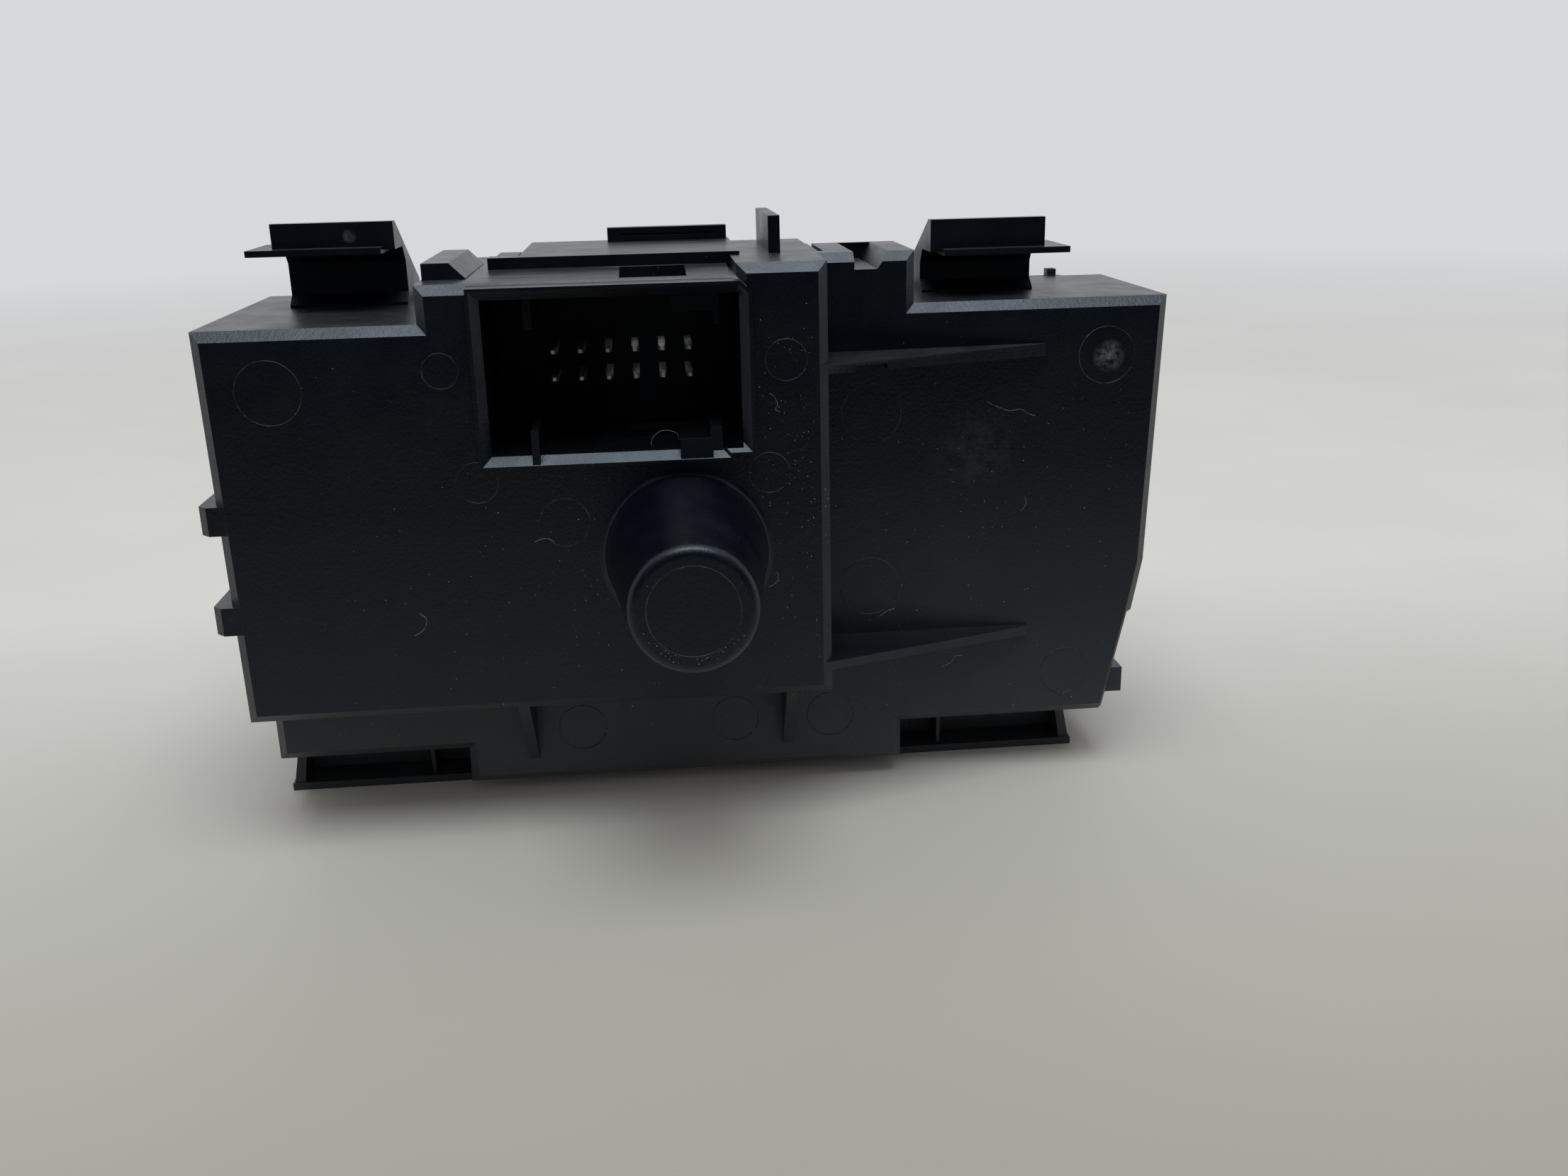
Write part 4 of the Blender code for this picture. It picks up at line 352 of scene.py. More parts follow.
def noise(tree, place, scale, detail=3.0, roughness=0.55, stretch=None):
    """Noise in object space; stretch squeezes it along the axes"""
    if stretch:
        mapping = tree.nodes.new("ShaderNodeMapping")
        mapping.inputs["Scale"].default_value = stretch
        tree.links.new(place, mapping.inputs["Vector"])
        place = mapping.outputs["Vector"]
    texture = tree.nodes.new("ShaderNodeTexNoise")
    texture.inputs["Scale"].default_value = scale
    texture.inputs["Detail"].default_value = detail
    texture.inputs["Roughness"].default_value = roughness
    tree.links.new(place, texture.inputs["Vector"])
    return texture.outputs["Fac"]


def cells(tree, place, scale):
    """Distance to the nearest cell point"""
    texture = tree.nodes.new("ShaderNodeTexVoronoi")
    texture.inputs["Scale"].default_value = scale
    tree.links.new(place, texture.inputs["Vector"])
    return texture.outputs["Distance"]


def remap(tree, value, low, high, to_low=0.0, to_high=1.0):
    """Clamp and stretch a value to a new range"""
    node = tree.nodes.new("ShaderNodeMapRange")
    node.inputs["From Min"].default_value = low
    node.inputs["From Max"].default_value = high
    node.inputs["To Min"].default_value = to_low
    node.inputs["To Max"].default_value = to_high
    tree.links.new(value, node.inputs["Value"])
    return node.outputs["Result"]


def pattern(tree, place, look):
    """One of the named patterns: its noise, brought to its range"""
    grain, limits = look
    return remap(tree, noise(tree, place, *grain), *limits)


def multiply(tree, first, second):
    """The product of a socket and another socket or a number"""
    node = tree.nodes.new("ShaderNodeMath")
    node.operation = "MULTIPLY"
    tree.links.new(first, node.inputs[0])
    if isinstance(second, float):
        node.inputs[1].default_value = second
    else:
        tree.links.new(second, node.inputs[1])
    return node.outputs["Value"]


def measure(tree, place, operation, point=None):
    """How far a place is from a point, or from the origin"""
    node = tree.nodes.new("ShaderNodeVectorMath")
    node.operation = operation
    tree.links.new(place, node.inputs[0])
    if point:
        node.inputs[1].default_value = point
    return node.outputs["Value"]


def split_axes(tree, vector):
    """The X, Y and Z of a vector"""
    node = tree.nodes.new("ShaderNodeSeparateXYZ")
    tree.links.new(vector, node.inputs["Vector"])
    return node.outputs


def blend(tree, factor, first, second):
    """Mix two colours; each is a socket or three numbers"""
    node = tree.nodes.new("ShaderNodeMix")
    node.data_type = "RGBA"
    tree.links.new(factor, node.inputs["Factor"])
    for name, value in (("A", first), ("B", second)):
        socket = next(s for s in node.inputs if s.name == name and s.type == "RGBA")
        if isinstance(value, tuple):
            socket.default_value = (*value, 1.0)
        else:
            tree.links.new(value, socket)
    return next(s for s in node.outputs if s.type == "RGBA")


def bump(tree, height, distance, strength=1.0, normal=None):
    """Turn a height into a normal, on top of another one if given"""
    node = tree.nodes.new("ShaderNodeBump")
    node.inputs["Distance"].default_value = distance
    node.inputs["Strength"].default_value = strength
    tree.links.new(height, node.inputs["Height"])
    if normal:
        tree.links.new(normal, node.inputs["Normal"])
    return node.outputs["Normal"]


def uneven_roughness(tree, shader, value, roughness, spread):
    """Let a pattern move the roughness a little either way"""
    below, above = spread
    rough = remap(tree, value, *UNEVEN_RANGE, roughness - below, roughness + above)
    tree.links.new(rough, shader.inputs["Roughness"])


def scaled(colour, share):
    """A colour made lighter or darker"""
    return tuple(channel * share for channel in colour)


def patch_mask(tree, place, centre, reach):
    """A soft round mask about a point, broken up by noise"""
    apart = measure(tree, place, "DISTANCE", centre)
    near = remap(tree, apart, reach, reach * RUBBED_CORE)
    return multiply(tree, near, pattern(tree, place, RUBBING))


def upward_mask(tree):
    """One where a face looks up"""
    geometry = tree.nodes.new("ShaderNodeNewGeometry")
    axes = split_axes(tree, geometry.outputs["Normal"])
    return remap(tree, axes["Z"], *UPWARD_RANGE)


def moulded_plastic(
        name, colour, roughness, grain=GRAIN, depth=GRAIN_DEPTH, dusty_and_reflecting=False,
        shine=PLASTIC_SHINE):
    """Moulded plastic: fine grain, mottling and scuffs, with a painted cool tint on its
    reflections; for the housing it adds dust film, rubbed places and a painted reflection of the
    floor on the lower rear faces
    """
    material, tree, shader, place = new_material(name)
    mottle = pattern(tree, place, MOTTLE)
    body = blend(tree, mottle, scaled(colour, MOTTLE_DARK), scaled(colour, MOTTLE_LIGHT))
    body = blend(tree, pattern(tree, place, SCUFFS), body, SCUFF_COLOUR)
    if dusty_and_reflecting:
        body = dust_wear_and_reflection(tree, place, body)
    tree.links.new(body, shader.inputs["Base Color"])
    rough = noise(tree, place, *PLASTIC_UNEVEN)
    uneven_roughness(tree, shader, rough, roughness, PLASTIC_SPREAD)
    shader.inputs["IOR"].default_value = PLASTIC_IOR
    shader.inputs["Specular IOR Level"].default_value = shine
    # painted reflection colour: a cool tint on every reflection
    shader.inputs["Specular Tint"].default_value = (*PAINTED_COOL_REFLECTION, 1.0)
    fine = noise(tree, place, grain, GRAIN_DETAIL, GRAIN_EDGE)
    broad = noise(tree, place, *WAVINESS)
    normal = bump(tree, broad, WAVINESS_DEPTH, WAVINESS_SHARE)
    normal = bump(tree, fine, depth, 1.0, normal)
    tree.links.new(normal, shader.inputs["Normal"])
    return material


def dust_wear_and_reflection(tree, place, body):
    """Dust film, scratches along the top, pale specks, haze, three rubbed places, and a painted
    reflection of the floor that makes the rear faces lighter towards the bottom
    """
    up = upward_mask(tree)
    axes = split_axes(tree, place)
    above = remap(
        tree, axes["Z"], FILM_EDGE_FOOT * MM, FILM_EDGE_TOP * MM, FILM_BELOW_SHARE, 1.0)
    film = multiply(tree, pattern(tree, place, FILM), above)
    body = blend(tree, multiply(tree, film, up), body, DUST_AND_REFLECTION_COLOUR)
    streak = multiply(tree, pattern(tree, place, STREAKS), up)
    high = remap(tree, axes["Z"], STREAK_FOOT * MM, STREAK_TOP * MM)
    body = blend(tree, multiply(tree, streak, high), body, DUST_AND_REFLECTION_COLOUR)
    specks = remap(tree, cells(tree, place, SPECK_SCALE), *SPECK_RANGE)
    patches = pattern(tree, place, SPECK_PATCHES)
    body = blend(tree, multiply(tree, specks, patches), body, DUST_AND_REFLECTION_COLOUR)
    body = blend(tree, pattern(tree, place, HAZE), body, DUST_AND_REFLECTION_COLOUR)
    # painted reflection of the near floor: lighter towards the bottom, more on the shallow face
    low = remap(tree, axes["Z"], PAINTED_REFLECTION_TOP * MM, PAINTED_REFLECTION_FOOT * MM)
    middle = (DEEP_FACE_Y + SHALLOW_FACE_Y) / 2
    share = remap(tree, axes["Y"], middle, SHALLOW_FACE_Y, PAINTED_REFLECTION_DEEP, PAINTED_REFLECTION_SHALLOW)
    body = blend(tree, multiply(tree, low, share), body, DUST_AND_REFLECTION_COLOUR)
    for across, rise, reach, step, strength in RUBBED:
        centre = (across * MM, DEEP_FACE_Y + step * MM, rise * MM)
        mask = patch_mask(tree, place, centre, reach * MM)
        body = blend(tree, multiply(tree, mask, strength), body, PALE_SCUFF)
    return body


def metal(name, colour, roughness, scratch=EVERY_WAY):
    """Plated or rolled metal with fine scratches and a little tarnish"""
    material, tree, shader, place = new_material(name)
    dull = pattern(tree, place, TARNISH_SPOTS)
    tree.links.new(blend(tree, dull, colour, TARNISH), shader.inputs["Base Color"])
    shader.inputs["Metallic"].default_value = 1.0
    streak = noise(tree, place, *METAL_UNEVEN, scratch)
    uneven_roughness(tree, shader, streak, roughness, METAL_SPREAD)
    tree.links.new(bump(tree, streak, METAL_DEPTH), shader.inputs["Normal"])
    return material


def ring_finish():
    """The witness line round an ejector mark, broken into pale, dark and brown lengths; the pale
    lengths are a painted highlight on its edge
    """
    material, tree, shader, place = new_material("ring_line")
    # painted highlight: pale lengths at random along the ring
    tone = blend(tree, pattern(tree, place, RING_BREAKS), HOUSING_BLACK, RING_PAINTED_HIGHLIGHT)
    tone = blend(tree, pattern(tree, place, RING_SPOTS), tone, RING_BROWN)
    tree.links.new(tone, shader.inputs["Base Color"])
    shader.inputs["Roughness"].default_value = RING_ROUGHNESS
    return material


def board_finish():
    """Green solder resist over a faint weave"""
    material, tree, shader, place = new_material("board_green")
    weave = tree.nodes.new("ShaderNodeTexWave")
    weave.inputs["Scale"].default_value = WEAVE_SCALE
    weave.inputs["Distortion"].default_value = WEAVE_DISTORTION
    tree.links.new(place, weave.inputs["Vector"])
    tone = remap(tree, weave.outputs["Fac"], *WEAVE_RANGE)
    colour = blend(tree, tone, BOARD_DARK, BOARD_LIGHT)
    tree.links.new(colour, shader.inputs["Base Color"])
    shader.inputs["Roughness"].default_value = BOARD_ROUGHNESS
    tree.links.new(bump(tree, weave.outputs["Fac"], SMOOTH_DEPTH), shader.inputs["Normal"])
    return material


def clear_finish(name, tint, roughness):
    """Slightly milky clear plastic"""
    material, tree, shader, place = new_material(name)
    cloud = pattern(tree, place, CLOUD)
    colour = blend(tree, cloud, scaled(tint, CLOUD_SHARE), tint)
    tree.links.new(colour, shader.inputs["Base Color"])
    rough = noise(tree, place, *CLEAR_UNEVEN)
    uneven_roughness(tree, shader, rough, roughness, PLASTIC_SPREAD)
    shader.inputs["Transmission Weight"].default_value = CLEAR_PASSES
    shader.inputs["IOR"].default_value = CLEAR_IOR
    tree.links.new(bump(tree, cloud, SMOOTH_DEPTH), shader.inputs["Normal"])
    return material


def pale_plastic(name, colour, roughness):
    """Light plastic or rubber with a soft uneven tone"""
    material, tree, shader, place = new_material(name)
    tone = pattern(tree, place, PALE_TONE)
    tone = blend(tree, tone, scaled(colour, PALE_SHARE), colour)
    tree.links.new(tone, shader.inputs["Base Color"])
    grain = noise(tree, place, *PALE_UNEVEN)
    uneven_roughness(tree, shader, grain, roughness, PALE_SPREAD)
    tree.links.new(bump(tree, grain, PALE_DEPTH), shader.inputs["Normal"])
    return material


def fibre_finish():
    """Pale lint and dust flakes"""
    material, tree, shader, place = new_material("pale_lint")
    colour = blend(tree, pattern(tree, place, LINT_TONE), LINT_DARK, LINT_LIGHT)
    tree.links.new(colour, shader.inputs["Base Color"])
    shader.inputs["Roughness"].default_value = LINT_ROUGHNESS
    return material


def make_materials():
    """Every finish by the node that takes it, and the plug socket's inside with its painted
    shade
    """
    housing = moulded_plastic("housing_black", HOUSING_BLACK, HOUSING_ROUGHNESS, dusty_and_reflecting=True)
    inner = moulded_plastic("frame_black", HOUSING_BLACK, FRAME_ROUGHNESS)
    fascia = moulded_plastic(
        "fascia_black", FASCIA_BLACK, FASCIA_ROUGHNESS, FASCIA_GRAIN, FASCIA_GRAIN_DEPTH)
    knob = moulded_plastic("knob_black", KNOB_BLACK, KNOB_ROUGHNESS, KNOB_GRAIN)
    pin = metal("contact_tin", *TIN, ALONG_Y)
    steel = metal("plated_steel", *STEEL)
    spring = metal("rolled_spring_steel", *SPRING_STEEL, ALONG_X)
    brass = metal("contact_brass_finish", *BRASS)
    chrome = metal("bright_plating", *BRIGHT_PLATING)
    board = board_finish()
    rubber = pale_plastic("silicone_grey", *SILICONE)
    white = pale_plastic("white_moulding", *WHITE)
    nylon = pale_plastic("nylon_moulding", *NYLON)
    phenolic = pale_plastic("phenolic_moulding", *PHENOLIC)
    clear = clear_finish("milky_clear", *MILKY_CLEAR)
    # painted shade for the plug socket's inside and the pin seats
    socket = moulded_plastic(
        "socket_painted_shade", SOCKET_PAINTED_SHADE, SOCKET_ROUGHNESS, shine=SOCKET_SHADE_SHINE)
    finishes = {
        "rear_housing": housing, "front_frame": inner, "front_fascia": fascia,
        "rotary_knob": knob, "front_fog_button": knob, "rear_fog_button": knob,
        "dimmer_wheel": knob, "circuit_board": board, "board_screw_1": steel,
        "board_screw_2": steel, "dimmer_axle": steel, "detent_spring": spring,
        "contact_wiper": brass, "knob_trim_ring": chrome, "switch_mat": rubber,
        "led_upper_button": white, "led_lower_button": white, "led_ring_upper": white,
        "led_ring_lower": white, "knob_pointer": white, "knob_shaft": nylon,
        "switch_rotor": nylon, "dimmer_control": phenolic, "light_guide": clear,
        "front_fog_lens": clear, "rear_fog_lens": clear, "socket": socket,
    }
    for name in NODES:
        if name.startswith("contact_pin"):
            finishes[name] = pin
    return finishes


def dress_nodes(finishes):
    """Give every CAD node its finish"""
    for name, node in NODES.items():
        node.data.materials.clear()
        node.data.materials.append(finishes[name])


def record_facts():
    """The body and the material slot of every node, from the record"""
    record = frame["record"]
    bodies = {}
    for body, names in record["behaviour"]["bodies"].items():
        for name in names:
            bodies[name] = body
    slots = {part["node"]: part["material_slot"] for part in record["subparts"]}
    return bodies, slots


def add_object(name, data):
    """A new object in the scene"""
    thing = bpy.data.objects.new(name, data)
    bpy.context.scene.collection.objects.link(thing)
    return thing


def finished_mesh(name, shape, material):
    """A mesh with one finish out of a bmesh, which is then freed"""
    mesh = bpy.data.meshes.new(name)
    shape.normal_update()
    shape.to_mesh(mesh)
    shape.free()
    mesh.materials.append(material)
    return mesh


def mesh_piece(name, shape, material, body):
    """Turn a bmesh into a piece that rides on a body"""
    piece = add_object(name, finished_mesh(name, shape, material))
    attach(piece, body)
    return piece


def soften_edges(node_name, width, material, body):
    """A copy of a node with its sharp edges rounded by a hair, shown in the node's place"""
    mesh = NODES[node_name].data.copy()
    mesh.name = node_name + "_moulding"
    shape = bmesh.new()
    shape.from_mesh(mesh)
    bmesh.ops.remove_doubles(shape, verts=shape.verts, dist=WELD_DISTANCE)
    bmesh.ops.dissolve_limit(
        shape, angle_limit=FLAT_ANGLE, verts=shape.verts, edges=shape.edges)
    for face in shape.faces:
        face.smooth = True
    shape.to_mesh(mesh)
    shape.free()
    piece = add_object(node_name + "_moulding", mesh)
    rounding = piece.modifiers.new("Rounding", "BEVEL")
    rounding.width = width
    rounding.segments = EDGE_SEGMENTS
    rounding.limit_method = "ANGLE"
    rounding.angle_limit = SHARP_ANGLE
    rounding.use_clamp_overlap = True
    even = piece.modifiers.new("Even shading", "WEIGHTED_NORMAL")
    even.weight = FACE_WEIGHT
    bpy.context.view_layer.update()
    graph = bpy.context.evaluated_depsgraph_get()
    rounded = bpy.data.meshes.new_from_object(piece.evaluated_get(graph))
    piece.modifiers.clear()
    piece.data = rounded
    rounded.materials.clear()
    rounded.materials.append(material)
    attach(piece, body)
    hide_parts(node_name)
    return piece


def paint_socket_shade(piece, material):
    """Give the deep inside of the plug socket a darker, less shiny finish as painted shade in
    the recess
    """
    piece.data.materials.append(material)
    rear = DEEP_FACE_Y - SOCKET_DARK_STEP
    front = DEEP_FACE_Y + SOCKET_END_STEP + SOCKET_END_SPARE
    low = Vector((SOCKET_SPAN_X[0] * MM, rear, SOCKET_SPAN_Z[0] * MM))
    high = Vector((SOCKET_SPAN_X[1] * MM, front, SOCKET_SPAN_Z[1] * MM))
    for polygon in piece.data.polygons:
        middle = polygon.center
        if all(low[axis] < middle[axis] < high[axis] for axis in range(3)):
            polygon.material_index = 1


def soften_mouldings(finishes):
    """Rounded copies of the plastic pieces that show"""
    bodies, slots = record_facts()
    widths = {
        "rear_housing": HOUSING_EDGE, "front_frame": HOUSING_EDGE,
        "front_fascia": FRONT_EDGE, "rotary_knob": FRONT_EDGE,
        "front_fog_button": FRONT_EDGE, "rear_fog_button": FRONT_EDGE,
        "dimmer_wheel": HOUSING_EDGE,
    }
    for name, width in widths.items():
        piece = soften_edges(name, width, finishes[name], bodies[name])
        if name == "rear_housing":
            # the socket's inside on the housing copy takes the painted shade
            paint_socket_shade(piece, finishes["socket"])


def join_loops(shape, loops):
    """Faces between each closed loop of vertices and the one after it"""
    for here, after in zip(loops, loops[1:]):
        count = len(here)
        for corner in range(count):
            other = (corner + 1) % count
            shape.faces.new((here[corner], here[other], after[other], after[corner]))


def add_ring(shape, across, rise, face, radius, width, height):
    """A thin ridge in a circle on a face that looks towards -Y"""
    profile = (
        (radius - width / 2, -height), (radius, height), (radius + width / 2, -height))
    loops = []
    for index in range(RING_STEPS):
        angle = math.tau * index / RING_STEPS
        loop = []
        for reach, lift in profile:
            x = across + reach * math.cos(angle)
            z = rise + reach * math.sin(angle)
            loop.append(shape.verts.new((x, face - lift, z)))
        loops.append(loop)
    join_loops(shape, loops + loops[:1])


def make_moulding_marks(material):
    """The circles that ejector pins leave, and the one on the stub's end"""
    shape = bmesh.new()
    for marks, face in ((DEEP_MARKS, DEEP_FACE_Y), (SHALLOW_MARKS, SHALLOW_FACE_Y)):
        for across, rise, radius in marks:
            add_ring(
                shape, across * MM, rise * MM, face, radius * MM, MARK_WIDTH, MARK_HEIGHT)
    reach = STUB_END_RADIUS * STUB_MARK_SHARE
    add_ring(shape, AXIS_X, AXIS_Z, STUB_END_Y, reach, MARK_WIDTH, MARK_HEIGHT / 2)
    bmesh.ops.recalc_face_normals(shape, faces=shape.faces)
    piece = mesh_piece("ejector_marks", shape, material, "housing")
    piece.data.shade_smooth()


def make_pin_seats(material):
    """Square collars that close the moulding round each contact pin"""
    shape = bmesh.new()
    rear = DEEP_FACE_Y + SOCKET_END_STEP - SEAT_PROUD
    front = rear + SEAT_LENGTH
    profile = (
        (SEAT_INNER, rear), (SEAT_OUTER, rear), (SEAT_OUTER, front), (SEAT_INNER, front))
    for name in sorted(NODES):
        if not name.startswith("contact_pin"):
            continue
        low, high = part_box(name)
        x = (low.x + high.x) / 2
        z = (low.z + high.z) / 2
        loops = []
        for half, y in profile:
            loops.append([shape.verts.new((x + a * half, y, z + b * half)) for a, b in SQUARE])
        join_loops(shape, loops + loops[:1])
    bmesh.ops.recalc_face_normals(shape, faces=shape.faces)
    mesh_piece("pin_seats", shape, material, "housing")


def face_level(face):
    """Y of the deep or the shallow rear face, or of the lint inside the socket"""
    return {
        "deep": DEEP_FACE_Y, "shallow": SHALLOW_FACE_Y,
        "socket": DEEP_FACE_Y + SOCKET_HAIR_STEP,
    }[face]


def add_flake(shape, draw, place):
    """An uneven flat flake with four or five corners"""
    size = draw.uniform(*FLAKE_SIZE)
    turn = draw.uniform(0.0, math.tau)
    corners = draw.choice(FLAKE_CORNERS)
    stretch = draw.uniform(*FLAKE_STRETCH)
    rim = []
    for index in range(corners):
        angle = turn + math.tau * index / corners
        reach = size * draw.uniform(*FLAKE_UNEVEN)
        x = place.x + reach * math.cos(angle)
        z = place.z + reach * stretch * math.sin(angle)
        rim.append(shape.verts.new((x, place.y, z)))
    peak = shape.verts.new((place.x, place.y - FLAKE_LIFT * 2, place.z))
    root = shape.verts.new((place.x, place.y + FLAKE_LIFT * 2, place.z))
    for index in range(corners):
        after = (index + 1) % corners
        shape.faces.new((rim[index], rim[after], peak))
        shape.faces.new((rim[after], rim[index], root))


def drawn_between(draw, middle, spread):
    """A place near a field's middle and never beyond its spread, given in millimetres"""
    value = draw.gauss(middle, spread * DUST_CROWDING)
    return min(max(value, middle - spread), middle + spread) * MM


def make_dust(material):
    """Specks on the rear faces and along the lower rim of the stub"""
    draw = random.Random(SEED)
    shape = bmesh.new()
    for face, middle, spread, count in DUST_FIELDS:
        for _ in range(count):
            x = drawn_between(draw, middle[0], spread[0])
            z = drawn_between(draw, middle[1], spread[1])
            over_stub = math.hypot(x - AXIS_X, z - AXIS_Z) < KEEP_OFF_STUB
            beside = abs(x - OPENING_MIDDLE) < OPENING_HALF
            over_opening = face == "deep" and beside and z > OPENING_FOOT
            if over_stub or over_opening:
                continue
            add_flake(shape, draw, Vector((x, face_level(face) - FLAKE_LIFT, z)))
    for _ in range(RIM_FLAKES):
        angle = math.radians(draw.gauss(*RIM_ANGLE))
        reach = STUB_END_RADIUS - draw.uniform(*RIM_INSET) * MM
        x = AXIS_X + reach * math.cos(angle)
        z = AXIS_Z + reach * math.sin(angle)
        add_flake(shape, draw, Vector((x, STUB_END_Y - FLAKE_LIFT, z)))
    bmesh.ops.recalc_face_normals(shape, faces=shape.faces)
    mesh_piece("dust_flakes", shape, material, "housing")


def smooth_route(points):
    """Points along a Catmull-Rom curve through the given ones"""
    route = []
    count = len(points)
    for index in range(count - 1):
        before = points[max(index - 1, 0)]
        here = points[index]
        after = points[index + 1]
        beyond = points[min(index + 2, count - 1)]
        for step in range(HAIR_STEPS):
            t = step / HAIR_STEPS
            route.append(
                0.5 * (2.0 * here + (after - before) * t
                       + (2.0 * before - 5.0 * here + 4.0 * after - beyond) * t ** 2
                       + (3.0 * here - before - 3.0 * after + beyond) * t ** 3))
    route.append(points[-1])
    return route


def make_lint(material):
    """Fine hairs on the rear faces, and one in the socket"""
    shape = bmesh.new()
    for face, points in HAIRS:
        level = face_level(face) - HAIR_LIFT
        route = smooth_route([Vector((x * MM, level, z * MM)) for x, z in points])
        loops = []
        for index, place in enumerate(route):
            ahead = route[min(index + 1, len(route) - 1)] - route[max(index - 1, 0)]
            side = ahead.cross(Vector((0.0, 1.0, 0.0))).normalized()
            out = side.cross(ahead).normalized()
            loop = []
            for corner in range(HAIR_SIDES):
                angle = math.tau * corner / HAIR_SIDES
                outward = side * math.cos(angle) + out * math.sin(angle)
                loop.append(shape.verts.new(place + outward * HAIR_RADIUS))
            loops.append(loop)
        join_loops(shape, loops)
        shape.faces.new(loops[0])
        shape.faces.new(list(reversed(loops[-1])))
    bmesh.ops.recalc_face_normals(shape, faces=shape.faces)
    mesh_piece("lint_hairs", shape, material, "housing")


def add_bar(shape, centre, length, width, turn):
    """A thin printed bar on the front, with its long side at an angle"""
    result = bmesh.ops.create_cube(shape, size=1.0)
    verts = result["verts"]
    bmesh.ops.scale(shape, vec=(length, TICK_HEIGHT, width), verts=verts)
    bmesh.ops.rotate(shape, matrix=Matrix.Rotation(-turn, 3, "Y"), verts=verts)
    bmesh.ops.translate(shape, vec=centre, verts=verts)


def make_front_marks(material):
    """Plain printed marks: ticks and a nought round the knob, bars beside the thumbwheel"""
    shape = bmesh.new()
    face = FASCIA_HIGH.y + TICK_HEIGHT / 2
    ring_radius = (RING_HIGH.x - RING_LOW.x) / 2
    reach = ring_radius + TICK_REACH + TICK_LENGTH / 2
    for angle in TICK_ANGLES:
        turn = math.radians(angle)
        centre = (AXIS_X - reach * math.cos(turn), face, AXIS_Z + reach * math.sin(turn))
        add_bar(shape, centre, TICK_LENGTH, TICK_WIDTH, math.pi - turn)
    zero = AXIS_Z + ring_radius + TICK_REACH + ZERO_RADIUS
    add_ring(shape, AXIS_X, zero, face, ZERO_RADIUS, TICK_WIDTH, TICK_HEIGHT / 2)
    wheel_middle = (WHEEL_LOW.x + WHEEL_HIGH.x) / 2
    across = wheel_middle + WHEEL_BAR_GAP + (WHEEL_HIGH.x - WHEEL_LOW.x) / 2
    for index in range(WHEEL_BARS):
        rise = AXIS_Z + (index - (WHEEL_BARS - 1) / 2) * WHEEL_BAR_STEP
        length = WHEEL_BAR_LENGTH * (WHEEL_BAR_SHORTEST + WHEEL_BAR_GROWTH * index)
        add_bar(shape, (across + length / 2, face, rise), length, TICK_WIDTH, 0.0)
    bmesh.ops.recalc_face_normals(shape, faces=shape.faces)
    mesh_piece("front_marks", shape, material, "housing")


def place_camera():
    """The photograph's viewpoint"""
    data = bpy.data.cameras.new("camera")
    data.lens = CAMERA_LENS
    data.sensor_width = CAMERA_SENSOR
    data.sensor_fit = "HORIZONTAL"
    data.clip_start = CAMERA_NEAR
    camera = add_object("camera", data)
    ahead = Vector((
        math.sin(CAMERA_YAW) * math.cos(CAMERA_PITCH),
        math.cos(CAMERA_YAW) * math.cos(CAMERA_PITCH),
        -math.sin(CAMERA_PITCH)))
    level = Vector((math.cos(CAMERA_YAW), -math.sin(CAMERA_YAW), 0.0))
    upright = level.cross(ahead)
    right = level * math.cos(CAMERA_ROLL) + upright * math.sin(CAMERA_ROLL)
    up = upright * math.cos(CAMERA_ROLL) - level * math.sin(CAMERA_ROLL)
    turn = Matrix((right, up, -ahead)).transposed().to_4x4()
    camera.matrix_world = Matrix.Translation(CAMERA_PLACE) @ turn
    bpy.context.scene.camera = camera


def make_room():
    """An evenly pale room"""
    world = bpy.data.worlds.new("room")
    bpy.context.scene.world = world
    world.use_nodes = True
    world.node_tree.nodes["Background"].inputs["Color"].default_value = (*SKY, 1.0)


def make_lamp():
    """A square soft lamp overhead that looks at the part"""
    data = bpy.data.lights.new("top_lamp", "AREA")
    data.size = TOP_SIZE
    data.energy = TOP_POWER
    data.color = TOP_COLOUR
    lamp = add_object("top_lamp", data)
    lamp.location = TOP_PLACE
    lamp.rotation_euler = (-Vector(TOP_PLACE)).to_track_quat("-Z", "Y").to_euler()


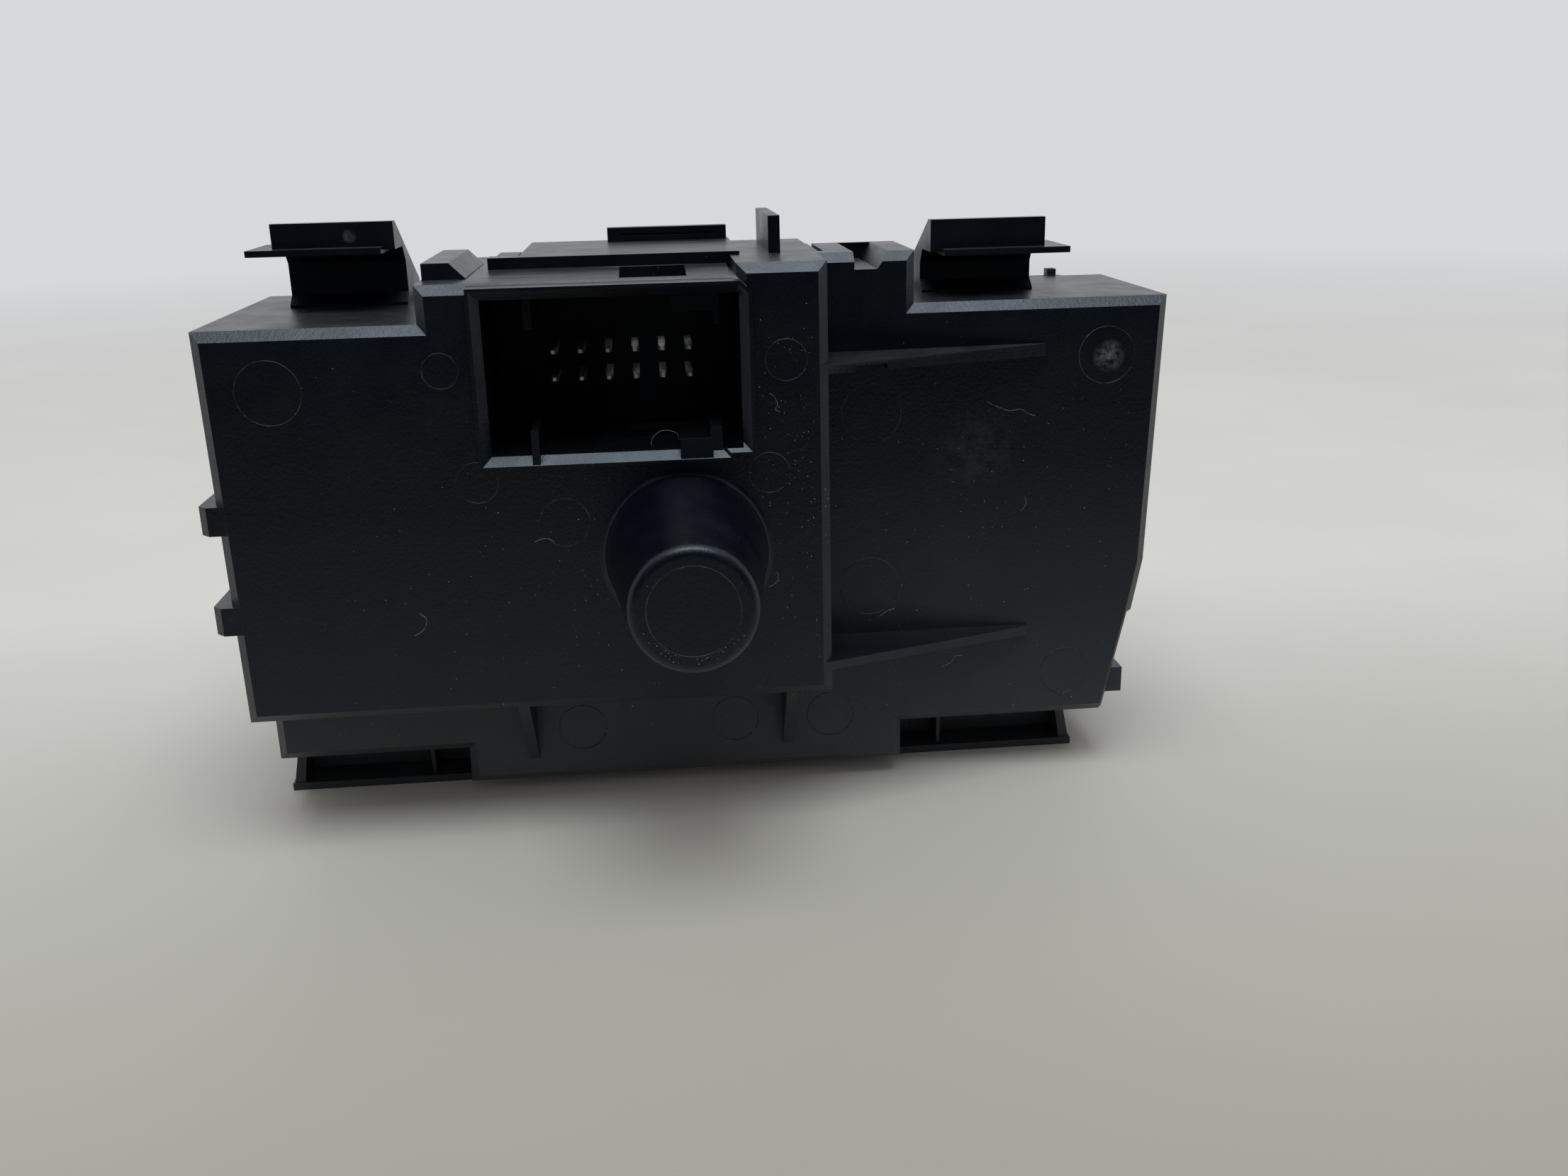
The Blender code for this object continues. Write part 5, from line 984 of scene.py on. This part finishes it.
def make_card():
    """A dark card beside the camera for the plastic to mirror; only reflections see it"""
    material, _, shader, _ = new_material("card_black")
    shader.inputs["Base Color"].default_value = (0.0, 0.0, 0.0, 1.0)
    shader.inputs["Specular IOR Level"].default_value = 0.0
    shader.inputs["Emission Color"].default_value = (*CARD_TONE, 1.0)
    shader.inputs["Emission Strength"].default_value = 1.0
    shape = bmesh.new()
    shape.faces.new([
        shape.verts.new((a * CARD_HALF_WIDTH, 0.0, b * CARD_HALF_HEIGHT)) for a, b in SQUARE])
    card = add_object("dark_card", finished_mesh("dark_card", shape, material))
    card.location = CARD_PLACE
    card.visible_camera = False
    card.visible_diffuse = False
    card.visible_shadow = False
    card.visible_transmission = False


def fade_floor(tree, shader, place):
    """Let the floor run out into the room's own tone, as a studio cove does"""
    fade = remap(tree, measure(tree, place, "LENGTH"), FADE_START, FADE_END)
    glow = tree.nodes.new("ShaderNodeEmission")
    glow.inputs["Color"].default_value = (*SKY, 1.0)
    mix = tree.nodes.new("ShaderNodeMixShader")
    tree.links.new(fade, mix.inputs["Fac"])
    tree.links.new(shader.outputs["BSDF"], mix.inputs[1])
    tree.links.new(glow.outputs["Emission"], mix.inputs[2])
    tree.links.new(mix.outputs["Shader"], tree.nodes["Material Output"].inputs["Surface"])


def floor_finish():
    """A plain pale floor with painted shade, darker towards the camera"""
    material, tree, shader, place = new_material("pale_floor")
    # painted shade: the floor's colour darkens from far to near
    along = remap(tree, split_axes(tree, place)["Y"], FLOOR_NEAR_Y, FLOOR_FAR_Y)
    tone = blend(tree, along, FLOOR_NEAR_PAINTED_SHADE, FLOOR_FAR)
    spots = pattern(tree, place, FLOOR_MOTTLE)
    tone = blend(tree, spots, tone, scaled(FLOOR_NEAR_PAINTED_SHADE, FLOOR_SPOT_SHARE))
    tree.links.new(tone, shader.inputs["Base Color"])
    shader.inputs["Roughness"].default_value = FLOOR_ROUGHNESS
    fade_floor(tree, shader, place)
    return material


def make_floor():
    """The floor that the part stands on"""
    shape = bmesh.new()
    bmesh.ops.create_grid(shape, x_segments=2, y_segments=2, size=FLOOR_HALF)
    floor = add_object("floor", finished_mesh("floor", shape, floor_finish()))
    floor.location.z = cad_box[0][2]


def main():
    """Dress the part, then set up its surroundings"""
    finishes = make_materials()
    dress_nodes(finishes)
    soften_mouldings(finishes)
    lint = fibre_finish()
    make_moulding_marks(ring_finish())
    # the pin seats take the socket's painted shade
    make_pin_seats(finishes["socket"])
    make_dust(lint)
    make_lint(lint)
    make_front_marks(finishes["knob_pointer"])
    place_camera()
    make_room()
    make_lamp()
    make_card()
    make_floor()
    bpy.context.scene.view_settings.view_transform = "Standard"


main()
